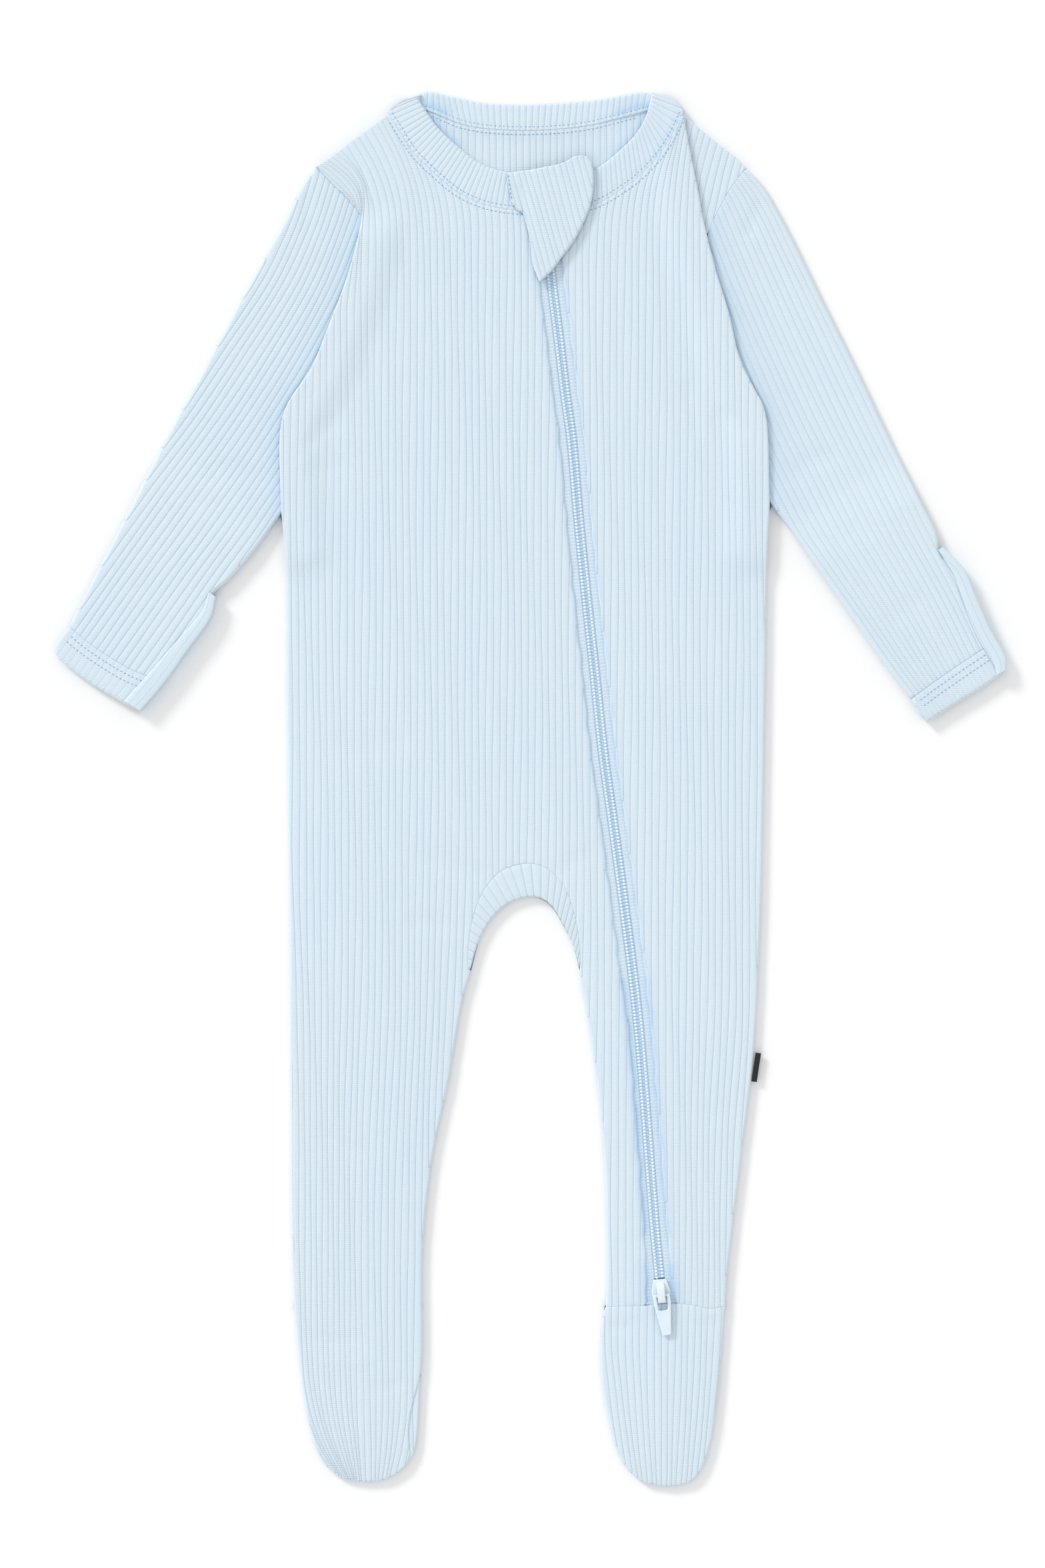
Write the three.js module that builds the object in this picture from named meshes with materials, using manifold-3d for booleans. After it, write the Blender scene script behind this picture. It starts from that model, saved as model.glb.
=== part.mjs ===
// A footed baby sleepsuit in rib knit, laid flat on its back, in millimetres.
// +Y runs to the neck, +X to the wearer's left and +Z up from the surface it lies on.
import * as THREE from 'three';
import { mergeVertices } from 'three/addons/utils/BufferGeometryUtils.js';
import Module from 'manifold-3d';

const wasm = await Module();
wasm.setup();

// Cloth and seams
const wall = 1.2; // thickness of one layer
const seamGap = 0.3; // between two pieces at a seam
const ribPitch = 2.9;
const ribHeight = 0.3;
const grooveShare = 0.14; // of the pitch, from a groove's middle to the crest's edge
const bandWall = 1.8; // the neck band is folded double
const guardWall = 1.5; // so is the zip guard
const frontLevel = wall + seamGap; // underside of the front layer at its edges
const frontLoft = 0.7; // the front rises by this much away from its edges
const loftReach = 14;
const foldLift = 2.1; // the body lies this much higher where it folds over a sleeve
const foldFlat = 9; // width of the lifted strip
const foldSlope = 22; // where the lift ends, from the fold
const liftEnds = [86, 100]; // the lift fades out between these two heights of Y
const zipHold = 0.7; // share of the loft that the flat zip takes away beside it
const zipReach = 8;
const sleeveSlit = 0.35; // hollow between a sleeve's two layers
const sleeveRim = 1.5; // width of a sleeve's closed edge
const mittenWall = 1.0;
const tuckWidth = 5; // cloth hidden under a fold
const outlineSlack = 0.06; // an outline leaves out points that lie this close to a straight line
const plainEvery = 9; // the inside of a ribbed sheet has one column for so many outer ones
const allHeights = [-1, 20]; // a block between these passes through every layer

// Zip
const chainHalf = 2.0;
const tapeInner = chainHalf + seamGap;
const tapeOuter = 4.75;
const zipSeam = tapeOuter + seamGap; // a front panel's edge, from the zip's middle
const tapeThick = 1.0;
const chainThick = 1.5;
const sliderTop = -205.3;
const sliderFoot = -215.4;
const sliderWide = 8;
const plateFloor = 2.9;
const upperSlider = { top: 249, foot: 240, tab: 14, roof: 4.0, turn: THREE.MathUtils.degToRad(7.5) };
const pivotY = -212;
const pivotZ = 5.3;
const barThick = 1.1;
const sliderTurn = THREE.MathUtils.degToRad(5);
const tabTurn = THREE.MathUtils.degToRad(8);
const tabDroop = THREE.MathUtils.degToRad(2.2); // its free end rests on the cloth

const palette = {
  cloth: { color: 0xd6e7f4, roughness: 0.95, metalness: 0 },
  plastic: { color: 0xe3ecf4, roughness: 0.4, metalness: 0 },
  label: { color: 0x17181a, roughness: 0.9, metalness: 0 },
};

// A table's rows as objects with the columns' names.
function table(names, rows) {
  return rows.map((row) => Object.fromEntries(names.map((name, i) => [name, row[i]])));
}

// A smooth function through the rows of a table: column "of" over column "at".
function smooth(rows, at, of) {
  const r = [...rows].sort((a, b) => a[at] - b[at]);
  const slope = (i) => {
    const a = r[Math.max(i - 1, 0)];
    const b = r[Math.min(i + 1, r.length - 1)];
    return (b[of] - a[of]) / (b[at] - a[at]);
  };
  return (t) => {
    let i = 0;
    while (i < r.length - 2 && t > r[i + 1][at]) i++;
    const h = r[i + 1][at] - r[i][at];
    const s = (t - r[i][at]) / h;
    if (s <= 0) return r[i][of] + slope(i) * h * s;
    if (s >= 1) return r[i + 1][of] + slope(i + 1) * h * (s - 1);
    const rise = s * s * (3 - 2 * s);
    const start = s * (1 - s) * (1 - s) * h * slope(i);
    const end = s * s * (s - 1) * h * slope(i + 1);
    return r[i][of] * (1 - rise) + r[i + 1][of] * rise + start + end;
  };
}

const step = (from, to, t) => THREE.MathUtils.smoothstep(t, from, to);

// Points along a smooth run through a table of x and y, about "spacing" apart.
function run(rows, spacing = 4) {
  const points = rows.map((r) => new THREE.Vector3(r.x, r.y, 0));
  if (points.length < 3) return points.map((p) => [p.x, p.y]);
  const curve = new THREE.CatmullRomCurve3(points, false, 'centripetal');
  return curve.getSpacedPoints(Math.ceil(curve.getLength() / spacing)).map((p) => [p.x, p.y]);
}

// The same run moved sideways, to the left of its direction.
function beside(points, distance) {
  return points.map(([x, y], i) => {
    const a = points[Math.max(i - 1, 0)];
    const b = points[Math.min(i + 1, points.length - 1)];
    const length = Math.hypot(b[0] - a[0], b[1] - a[1]);
    return [x - (distance * (b[1] - a[1])) / length, y + (distance * (b[0] - a[0])) / length];
  });
}

const backwards = (points) => [...points].reverse();

// The part of a run between two values of Y, cut exactly at both.
function between(points, low, high) {
  return points.flatMap(([x, y], i) => {
    const [px, py] = points[Math.max(i - 1, 0)];
    const cuts = [low, high].filter((cut) => (py - cut) * (y - cut) < 0);
    const crossed = cuts.map((cut) => [px + ((x - px) * (cut - py)) / (y - py), cut]);
    return y >= low && y <= high ? [...crossed, [x, y]] : crossed;
  });
}

// Distance from a place to a run of points.
function distanceTo(points, x, y) {
  let least = Infinity;
  for (let i = 1; i < points.length; i++) {
    const [ax, ay] = points[i - 1];
    const [dx, dy] = [points[i][0] - ax, points[i][1] - ay];
    const t = THREE.MathUtils.clamp(((x - ax) * dx + (y - ay) * dy) / (dx * dx + dy * dy), 0, 1);
    least = Math.min(least, Math.hypot(x - ax - t * dx, y - ay - t * dy));
  }
  return least;
}

// Solids
function solidOf(geometry) {
  const bare = geometry.clone();
  bare.deleteAttribute('normal');
  bare.deleteAttribute('uv');
  const merged = mergeVertices(bare, 1e-4);
  const vertProperties = new Float32Array(merged.attributes.position.array);
  const triVerts = new Uint32Array(merged.index.array);
  return new wasm.Manifold(new wasm.Mesh({ numProp: 3, vertProperties, triVerts }));
}

function geometryOf(solid) {
  const mesh = solid.getMesh();
  const geometry = new THREE.BufferGeometry();
  geometry.setAttribute('position', new THREE.BufferAttribute(mesh.vertProperties, 3));
  geometry.setIndex(new THREE.BufferAttribute(mesh.triVerts, 1));
  geometry.computeVertexNormals();
  return geometry;
}

// An upright block over an outline.
function prism(outline, low, high) {
  const shape = new THREE.Shape(outline.map(([x, y]) => new THREE.Vector2(x, y)));
  const block = new THREE.ExtrudeGeometry(shape, { depth: high - low, bevelEnabled: false });
  return solidOf(block.translate(0, 0, low));
}

const cutTo = (sheet, outline) => sheet.intersect(prism(outline, ...allHeights));

function bodyOf(vertices, triangles) {
  const geometry = new THREE.BufferGeometry();
  geometry.setAttribute('position', new THREE.Float32BufferAttribute(vertices, 3));
  geometry.setIndex(triangles);
  return solidOf(geometry);
}

// A field of rib lines: x of any rib line at any y, from a few lines followed on the garment.
function ribField(guides) {
  const lines = guides.map((g) => ({ rib: g.rib, x: smooth(g.path, 'y', 'x') }));
  return (rib, y) => {
    let i = 0;
    while (i < lines.length - 2 && rib > lines[i + 1].rib) i++;
    const [a, b] = [lines[i], lines[i + 1]];
    return a.x(y) + ((b.x(y) - a.x(y)) * (rib - a.rib)) / (b.rib - a.rib);
  };
}

// A sheet of cloth whose columns follow the rib lines, with ribs raised over a plain inside.
function ribbedSheet({ field, ribs, rows, under, thick = wall, raise = ribHeight }) {
  const columns = [];
  for (let rib = ribs[0]; rib < ribs[1]; rib++) {
    columns.push({ at: rib, up: 0 });
    columns.push({ at: rib + grooveShare, up: raise });
    columns.push({ at: rib + 1 - grooveShare, up: raise });
  }
  columns.push({ at: ribs[1], up: 0 });
  const ys = [...rows].sort((a, b) => a - b);
  const last = columns.length - 1;
  const plain = columns.map((c, i) => i).filter((i) => i % plainEvery === 0 || i === last);
  const vertices = [];
  columns.forEach((c) =>
    ys.forEach((y) => {
      const x = field(c.at, y);
      vertices.push(x, y, under(x, y) + thick + c.up);
    }),
  );
  plain.forEach((i) =>
    ys.forEach((y) => {
      const x = field(columns[i].at, y);
      vertices.push(x, y, under(x, y));
    }),
  );
  const n = ys.length;
  const top = (i, j) => i * n + j;
  const low = (k, j) => (columns.length + k) * n + j;
  const triangles = [];
  const quad = (a, b, c, d) => triangles.push(a, b, c, a, c, d);
  for (let j = 0; j < n - 1; j++) {
    for (let i = 0; i < columns.length - 1; i++) {
      quad(top(i, j), top(i + 1, j), top(i + 1, j + 1), top(i, j + 1));
    }
    for (let k = 0; k < plain.length - 1; k++) {
      quad(low(k, j), low(k, j + 1), low(k + 1, j + 1), low(k + 1, j));
    }
    const lastLow = plain.length - 1;
    quad(low(0, j), top(0, j), top(0, j + 1), low(0, j + 1));
    quad(low(lastLow, j), low(lastLow, j + 1), top(last, j + 1), top(last, j));
  }
  for (let k = 0; k < plain.length - 1; k++) {
    const [from, to] = [plain[k], plain[k + 1]];
    triangles.push(low(k, 0), low(k + 1, 0), top(to, 0));
    triangles.push(low(k + 1, n - 1), low(k, n - 1), top(to, n - 1));
    for (let i = to; i > from; i--) {
      triangles.push(low(k, 0), top(i, 0), top(i - 1, 0));
      triangles.push(low(k, n - 1), top(i - 1, n - 1), top(i, n - 1));
    }
  }
  return bodyOf(vertices, triangles);
}

// A body through rings of equal length, closed at both ends.
function loft(rings) {
  const count = rings[0].length;
  const vertices = rings.flat(2);
  const triangles = [];
  for (let s = 0; s < rings.length - 1; s++) {
    for (let i = 0; i < count; i++) {
      const next = (i + 1) % count;
      const [a, b] = [s * count + i, s * count + next];
      triangles.push(a, b, b + count, a, b + count, a + count);
    }
  }
  const end = (rings.length - 1) * count;
  const faces = THREE.ShapeUtils.triangulateShape(flatRing(rings[0]), []);
  const last = THREE.ShapeUtils.triangulateShape(flatRing(rings.at(-1)), []);
  faces.forEach(([a, b, c]) => triangles.push(c, b, a));
  last.forEach(([a, b, c]) => triangles.push(end + a, end + b, end + c));
  const solid = bodyOf(vertices, triangles);
  if (solid.volume() > 0) return solid;
  for (let i = 0; i < triangles.length; i += 3) triangles.splice(i, 2, triangles[i + 1], triangles[i]);
  return bodyOf(vertices, triangles);
}

// A ring's points in its own upright plane: along its length on the ground, and height.
function flatRing(ring) {
  const [ax, ay] = ring[0];
  const reach = ([x, y]) => Math.hypot(x - ax, y - ay);
  const [bx, by] = ring.reduce((far, p) => (reach(p) > reach(far) ? p : far));
  const length = reach([bx, by]);
  const along = (x, y) => ((x - ax) * (bx - ax) + (y - ay) * (by - ay)) / length;
  return ring.map(([x, y, z]) => new THREE.Vector2(along(x, y), z));
}

// A strip between two edges, with short ribs across it.
function ribbedStrip({ rows, ribs, under, thick, raise = ribHeight }) {
  const keyed = rows.map((r, i) => ({ ...r, i }));
  const [ix, iy, ox, oy] = ['ix', 'iy', 'ox', 'oy'].map((of) => smooth(keyed, 'i', of));
  const rings = [];
  for (let c = 0; c <= ribs * 2; c++) {
    const t = (c / (ribs * 2)) * (rows.length - 1);
    const high = thick + (c % 2 ? raise : 0);
    const [a, b] = [[ix(t), iy(t)], [ox(t), oy(t)]];
    const z = (p) => under(...p);
    rings.push([[...a, z(a)], [...b, z(b)], [...b, z(b) + high], [...a, z(a) + high]]);
  }
  return loft(rings);
}

// Edges and seams of the body, each row a point that was measured
const at = (rows) => table(['x', 'y'], rows);

const rightSide = run(at([[-104.4, 115.2], [-102.5, 93.5], [-102.2, 37.5], [-101.2, -43.7],
  [-100.6, -110], [-100.2, -178], [-98.6, -223], [-96.3, -245.3], [-93, -266.6], [-87.4, -281.8],
  [-79.5, -288.8], [-70.3, -290.6]]), 6);
const rightToe = run(at([[-70.3, -290.6], [-61, -289.6], [-54, -285.4], [-49.6, -280],
  [-48.2, -275.5], [-47.3, -266.6], [-46.2, -246.4]]), 3);
const rightInner = run(at([[-46.2, -246.4], [-45.4, -234], [-45.4, -195], [-41.4, -155.7],
  [-34.4, -122], [-28.6, -88.5], [-25, -76.2]]), 6);
const crotch = run(at([[-25, -76.2], [-21.3, -62.7], [-16.2, -53.8], [-9.2, -47.4], [0.8, -45],
  [8, -48.3], [14.3, -58.2], [18.4, -67], [20.4, -75]]), 3);
const leftInner = run(at([[20.4, -75], [26.3, -111], [30.2, -144.5], [31.9, -180], [31.9, -211],
  [30.2, -223], [29.4, -240], [31.1, -256.5], [35.6, -275.5], [40, -284.5], [48, -291.2],
  [57.1, -292.6]]), 5);
const leftSide = run(at([[57.1, -292.6], [67.5, -290.4], [73.1, -282.2], [77, -266.6],
  [79.5, -245.3], [82.9, -200.5], [88.2, -155.7], [93.5, -111], [96.2, -60], [97.6, -4.5],
  [98.8, 65.5], [99.4, 100], [100.3, 119.6]]), 6);

const rightShoulder = run(at([[-89.8, 261], [-84.6, 264.3], [-72.8, 273.3], [-60.3, 282.4]]), 4);
const leftShoulder = run(at([[64, 283], [75.3, 273.3], [86.8, 264.3], [90.4, 260.6]]), 4);
const rightArmhole = at([[-89.8, 261], [-82, 252.8], [-76.2, 247], [-70.6, 240]]);
const rightFold = run(at([[-70.6, 240], [-73.4, 227], [-77.8, 212.2], [-84.6, 194.6],
  [-92, 176.5], [-102, 161.5], [-105, 150], [-105, 130], [-104.4, 115.2]]), 6);
const leftArmhole = at([[90.4, 260.6], [86, 255.1], [81.2, 247.5], [74.4, 233]]);
const leftFold = run(at([[64, 283], [67.4, 265], [70, 252.3], [72.2, 240], [77.3, 219],
  [83.2, 199.6], [87.6, 181], [93.2, 169], [97.9, 160], [99.6, 148], [100, 132], [100.3, 119.6]]), 6);
const rightArmseam = run([...rightArmhole, ...at([[-67.4, 229], [-70, 212], [-78, 191],
  [-88, 171], [-97.5, 154], [-99, 137], [-101, 123], [-105.2, 114.6]])], 4);
const leftArmseam = run([...leftArmhole, ...at([[72.4, 219], [77.6, 203], [82, 186], [89, 167],
  [94, 153], [95, 138], [97.4, 126], [101.2, 119]])], 4);

// The zip runs from the neck down the left leg
const zipPath = at([[3.2, 258], [8.7, 214], [11.8, 190], [14.8, 165], [17.4, 146], [20.2, 114],
  [23.4, 82], [27.3, 46], [30.6, 15], [34.5, -13], [39.2, -48], [43.3, -80], [46.4, -110],
  [52, -182], [54.2, -205.3], [54.9, -216]]);
const zipX = smooth(zipPath, 'y', 'x');
const ankleY = -216.4;

// Neck band rows run along the band: i is its inner edge and o its seam
const bandNames = ['ix', 'iy', 'ox', 'oy'];
const bandRight = table(bandNames, [
  [-45.4, 291.2, -51.6, 290.1], [-46.6, 290.4, -56.6, 286.6], [-46.6, 288.8, -59.5, 283.2],
  [-43.6, 284.2, -56, 277.6], [-38.6, 277.3, -48.8, 266.6], [-31.2, 270.2, -40, 257.9],
  [-23, 263.6, -30, 249.8], [-15, 260, -19, 245], [-7, 258.4, -8, 242.9], [-1.8, 258, -0.2, 242.4]]);
const bandLeft = table(bandNames, [
  [9, 257.6, 10.4, 242.8], [18, 258.2, 18.6, 243.2], [27, 260.2, 27.4, 245.2],
  [35, 265.8, 36.4, 250.2], [43.5, 274, 46.4, 257.6], [48.2, 282, 56.3, 268.8],
  [50.3, 289, 63.9, 283], [51, 292.4, 60.6, 289.6]]);
const bandBack = table(bandNames, [
  [-53.5, 288.4, -50, 284.4], [-43.7, 292.5, -44, 285], [-32.5, 290.5, -30, 279.4],
  [-20, 288, -19, 277.2], [-5, 287.3, -5, 276.4], [11, 287.8, 10, 276.8],
  [25, 288.9, 24, 278.4], [36, 290.6, 35, 281], [46, 292.3, 45, 283.6], [56, 291.4, 52, 285.6]]);
const bandSeamRight = run(bandRight.slice(2).map((r) => ({ x: r.ox, y: r.oy })), 4);
const bandSeamLeft = run(bandLeft.slice(0, 7).map((r) => ({ x: r.ox, y: r.oy })), 4);

const gussetRows = table(bandNames, [
  [-25.2, -75.4, -26.4, -75.6], [-22.6, -66.2, -26, -64.4], [-19.4, -58.8, -24.4, -55],
  [-15.4, -53, -21.4, -45.6], [-10.6, -48.6, -16.8, -38.3], [-5.4, -46, -11, -33.4],
  [0.4, -45, -1.6, -31], [5.4, -46.2, 5.9, -32.6], [9.4, -49.6, 11, -36.6],
  [12.6, -54.8, 15.4, -43.2], [16, -61.4, 18.6, -52.6], [18.8, -68.2, 20.4, -63],
  [20.5, -74.8, 21, -73]]);
const gussetSeam = run(gussetRows.map((r) => ({ x: r.ox, y: r.oy })), 3);

// Heights
const silhouette = [...rightSide, ...rightToe, ...rightInner, ...crotch, ...leftInner, ...leftSide];
const zipLine = run(zipPath, 8);
const rightLiftLine = [...rightFold, [-102.6, 100]];
const leftLiftLine = [...leftFold, [99.4, 100]];

// Underside of the front layer: it lofts away from its edges and climbs over the sleeves.
function frontUnder(x, y) {
  const loftShare = 1 - Math.exp(-distanceTo(silhouette, x, y) / loftReach);
  const nearZip = Math.exp(-distanceTo(zipLine, x, y) / zipReach);
  const strip = (fold) => 1 - step(foldFlat, foldSlope, distanceTo(fold, x, y));
  const lift = step(...liftEnds, y) * Math.max(strip(rightLiftLine), strip(leftLiftLine));
  return frontLevel + frontLoft * loftShare * (1 - zipHold * nearZip) + foldLift * lift;
}

// Rib lines that were followed on the body
const rightBodyRibs = ribField([
  { rib: 0, path: at([[-131, 247], [-107, 240], [-100, 233.5], [-99.7, 190], [-99.7, -15.7],
    [-98, -88.5], [-97.4, -144.5], [-96.4, -200.5], [-95, -245], [-92, -262], [-87, -276],
    [-79, -290]]) },
  { rib: 10.2, path: at([[-107, 280], [-89.6, 261], [-82, 252.8], [-76.2, 247], [-70.6, 240],
    [-70.1, 232], [-70, 200], [-70, -15.7], [-70.6, -88.5], [-72.2, -144.5], [-73.1, -200.5],
    [-72.4, -256.5], [-70.4, -290]]) },
  { rib: 11.8, path: at([[-88.2, 284.5], [-81.8, 275.5], [-76.2, 267.1], [-72, 260], [-68.9, 252.8],
    [-66.2, 243], [-65.5, 232], [-65.5, 200], [-65.5, -15.7], [-66, -88.5], [-67.6, -144.5],
    [-68.5, -200.5], [-68, -256.5], [-67, -290]]) },
  { rib: 17.4, path: at([[-65.5, 284.5], [-60.5, 275.5], [-56.3, 267.1], [-53.6, 260],
    [-51.5, 252.8], [-50, 243], [-49.4, 232], [-49.3, 200], [-49.3, -15.7], [-50.1, -88.5],
    [-52.4, -144.5], [-52.8, -200.5], [-53.4, -256.5], [-55.6, -276], [-59, -290]]) },
  { rib: 23.2, path: at([[-51.5, 284.5], [-46.5, 275.5], [-42, 267.1], [-38.6, 260], [-35.8, 252.8],
    [-33.5, 243], [-32.6, 232], [-32.5, 200], [-32.5, -15.7], [-34.2, -88.5], [-36.9, -144.5],
    [-37.4, -256.5], [-42, -290]]) },
  { rib: 44.4, path: at([[29.1, 284.5], [29.1, -88.5], [29.1, -290]]) },
]);
const leftBodyRibs = ribField([
  { rib: 44.4, path: at([[45, 284.5], [38, 267], [34, 258], [31, 247], [29.4, 236], [29.1, 200],
    [29.1, -290]]) },
  { rib: 48.3, path: at([[60, 284.5], [52, 270], [46, 260], [42.4, 250], [40.7, 236], [40.3, 200],
    [40.3, -290]]) },
  { rib: 55, path: at([[66, 284.5], [63.2, 267], [61.4, 252.8], [60.2, 236], [59.9, 200],
    [59.9, -290]]) },
  { rib: 58.6, path: at([[71, 284.5], [70.6, 260], [70.3, 240], [70.3, -88.5], [69.2, -144.5],
    [68.7, -216]]) },
]);
const tuckRibs = ribField([
  { rib: 0, path: at([[64, 284], [58, 262], [53, 240]]) },
  { rib: 10, path: at([[94, 284], [88, 262], [83, 240]]) },
]);
const footRibs = ribField([
  { rib: 0, path: at([[31.6, -214], [31.2, -234], [32.2, -247], [34.5, -257], [37.5, -267],
    [41.4, -277], [47, -287], [51, -294]]) },
  { rib: 8.8, path: at([[57.1, -214], [57.1, -294]]) },
  { rib: 17, path: at([[80.9, -214], [79, -234], [77.6, -247], [75.8, -257], [73.3, -267],
    [69.8, -277], [65.6, -287], [62.6, -294]]) },
]);
const straightRibs = (rib) => rib * ribPitch;

const bodyRows = [300, 268, 250, 234, 190, 145, 101, 84, -50, -130, -218, -254, -275, -296];

const soleSeam = run(at([[-46.2, -246.4], [-48.2, -252.4], [-49.6, -257.6], [-51, -265],
  [-51.3, -273], [-50.6, -279], [-51.8, -283.4]]), 3);

// A closed outline from runs, with only the points that its shape needs.
function loop(...runs) {
  const apart = (p, q) => Math.hypot(p[0] - q[0], p[1] - q[1]) > 0.5;
  const kept = [];
  runs.flat().forEach((p) => {
    if (!kept.length || apart(p, kept.at(-1))) kept.push(p);
  });
  while (!apart(kept[0], kept.at(-1))) kept.pop();
  const needed = [kept[0]];
  let from = 0;
  for (let i = 2; i <= kept.length; i++) {
    const chord = [kept[from], kept[i % kept.length]];
    const skipped = kept.slice(from + 1, i);
    if (skipped.every(([x, y]) => distanceTo(chord, x, y) < outlineSlack)) continue;
    from = i - 1;
    needed.push(kept[from]);
  }
  return needed;
}

// Body panels
function rightFront() {
  const outline = loop(
    rightShoulder,
    beside(bandSeamRight, -seamGap).slice(1, -1),
    between(beside(zipLine, -zipSeam), ankleY + 2, 241),
    [[zipX(ankleY) - zipSeam, ankleY + seamGap], [31.9, ankleY + seamGap]],
    backwards(between(leftInner, ankleY + 2, -77)),
    backwards(beside(gussetSeam, seamGap)),
    backwards(between(rightInner, -245, -79)),
    beside(soleSeam, -seamGap).slice(1),
    backwards(rightToe.filter((p) => p[1] < -284.5)),
    backwards(rightSide).slice(1),
    backwards(rightFold).slice(1),
    backwards(beside(between(rightArmseam, 241, 262), seamGap)).slice(0, -1),
  );
  const cloth = { field: rightBodyRibs, ribs: [-3, 58], rows: bodyRows, under: frontUnder };
  return cutTo(ribbedSheet(cloth), outline);
}

function leftFront() {
  const outline = loop(
    between(beside(zipLine, zipSeam), ankleY + 2, 241),
    [[zipX(ankleY) + zipSeam, ankleY + seamGap], [82, ankleY + seamGap]],
    between(leftSide, ankleY + 2, 118),
    backwards(leftFold).slice(0, -1),
    backwards(beside(bandSeamLeft, -seamGap)).slice(1, -1),
  );
  const cloth = { field: leftBodyRibs, ribs: [40, 73], rows: bodyRows, under: frontUnder };
  return cutTo(ribbedSheet(cloth), outline).add(shoulderTuck());
}

// The left shoulder shows beside the fold and runs on under it.
function shoulderTuck() {
  const hidden = between(beside(leftFold, -tuckWidth), 234, 266);
  const outline = loop(
    leftShoulder,
    beside(between(leftArmseam, 233, 261), -seamGap).slice(1),
    backwards(hidden),
  );
  const rows = [286, 275, 262, 250, 240, 228];
  const under = () => frontLevel;
  const cloth = cutTo(ribbedSheet({ field: tuckRibs, ribs: [-2, 11], rows, under }), outline);
  const turnTop = frontLevel + foldLift + frontLoft + wall / 2;
  const turn = prism(loop(hidden, backwards(beside(hidden, 2))), frontLevel + 0.4, turnTop);
  return cloth.add(turn);
}

function backPanel() {
  const neckLow = 237;
  const outline = loop(
    rightArmseam.map(([x, y]) => [x + seamGap, y]),
    between(rightSide, ankleY, 113),
    between(rightInner, ankleY, -77),
    crotch,
    between(leftInner, ankleY, -77),
    between(leftSide, ankleY, 117),
    backwards(leftArmseam).map(([x, y]) => [x - seamGap, y]),
    backwards(leftShoulder).slice(1, -2),
    [[61, 285.2], [52.5, 285.2]],
    backwards(beside(run(bandBack.map((r) => ({ x: r.ox, y: r.oy }))), -seamGap)).slice(1, -1),
    [[-50.5, 283.9], [-58, 283.9]],
    backwards(rightShoulder).slice(1, -1),
  );
  const neck = [[-46, neckLow - 1], [50, neckLow - 1], [50, 286], [-46, 286]];
  const above = neck.map(([x, y]) => [x, y < neckLow ? neckLow : y]);
  const lowWall = wall - ribHeight;
  const ribs = { field: straightRibs, ribs: [-18, 19], rows: [230, 290] };
  const patch = cutTo(ribbedSheet({ ...ribs, under: () => 0, thick: lowWall }), neck);
  return prism(outline, 0, wall).subtract(prism(above, -1, 9)).add(cutTo(patch, outline));
}

function gusset() {
  return ribbedStrip({ rows: gussetRows, ribs: 26, under: frontUnder, thick: wall });
}

function footUpper() {
  const outline = loop(
    [[31.7, ankleY - seamGap], [82, ankleY - seamGap]],
    backwards(between(leftSide, -300, ankleY - 2)),
    backwards(between(leftInner, -291, ankleY - 2)),
  );
  const rows = [...bodyRows.filter((y) => y < -220), -212];
  const cloth = { field: footRibs, ribs: [-3, 20], rows, under: frontUnder };
  return cutTo(ribbedSheet(cloth), outline);
}

function rightSole() {
  const base = loop(
    between(rightSide, -300, ankleY - seamGap),
    rightToe,
    between(rightInner, -245, ankleY - seamGap),
  );
  const sliver = loop(soleSeam, rightToe.filter((p) => p[1] > -283 && p[0] > -53));
  return prism(base, 0, wall).add(prism(sliver, wall / 2, frontLevel + wall));
}

function leftSole() {
  const outline = loop(
    backwards(between(leftSide, -300, ankleY - seamGap)),
    backwards(between(leftInner, -291, ankleY - seamGap)),
  );
  return prism(outline, 0, wall);
}

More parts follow.
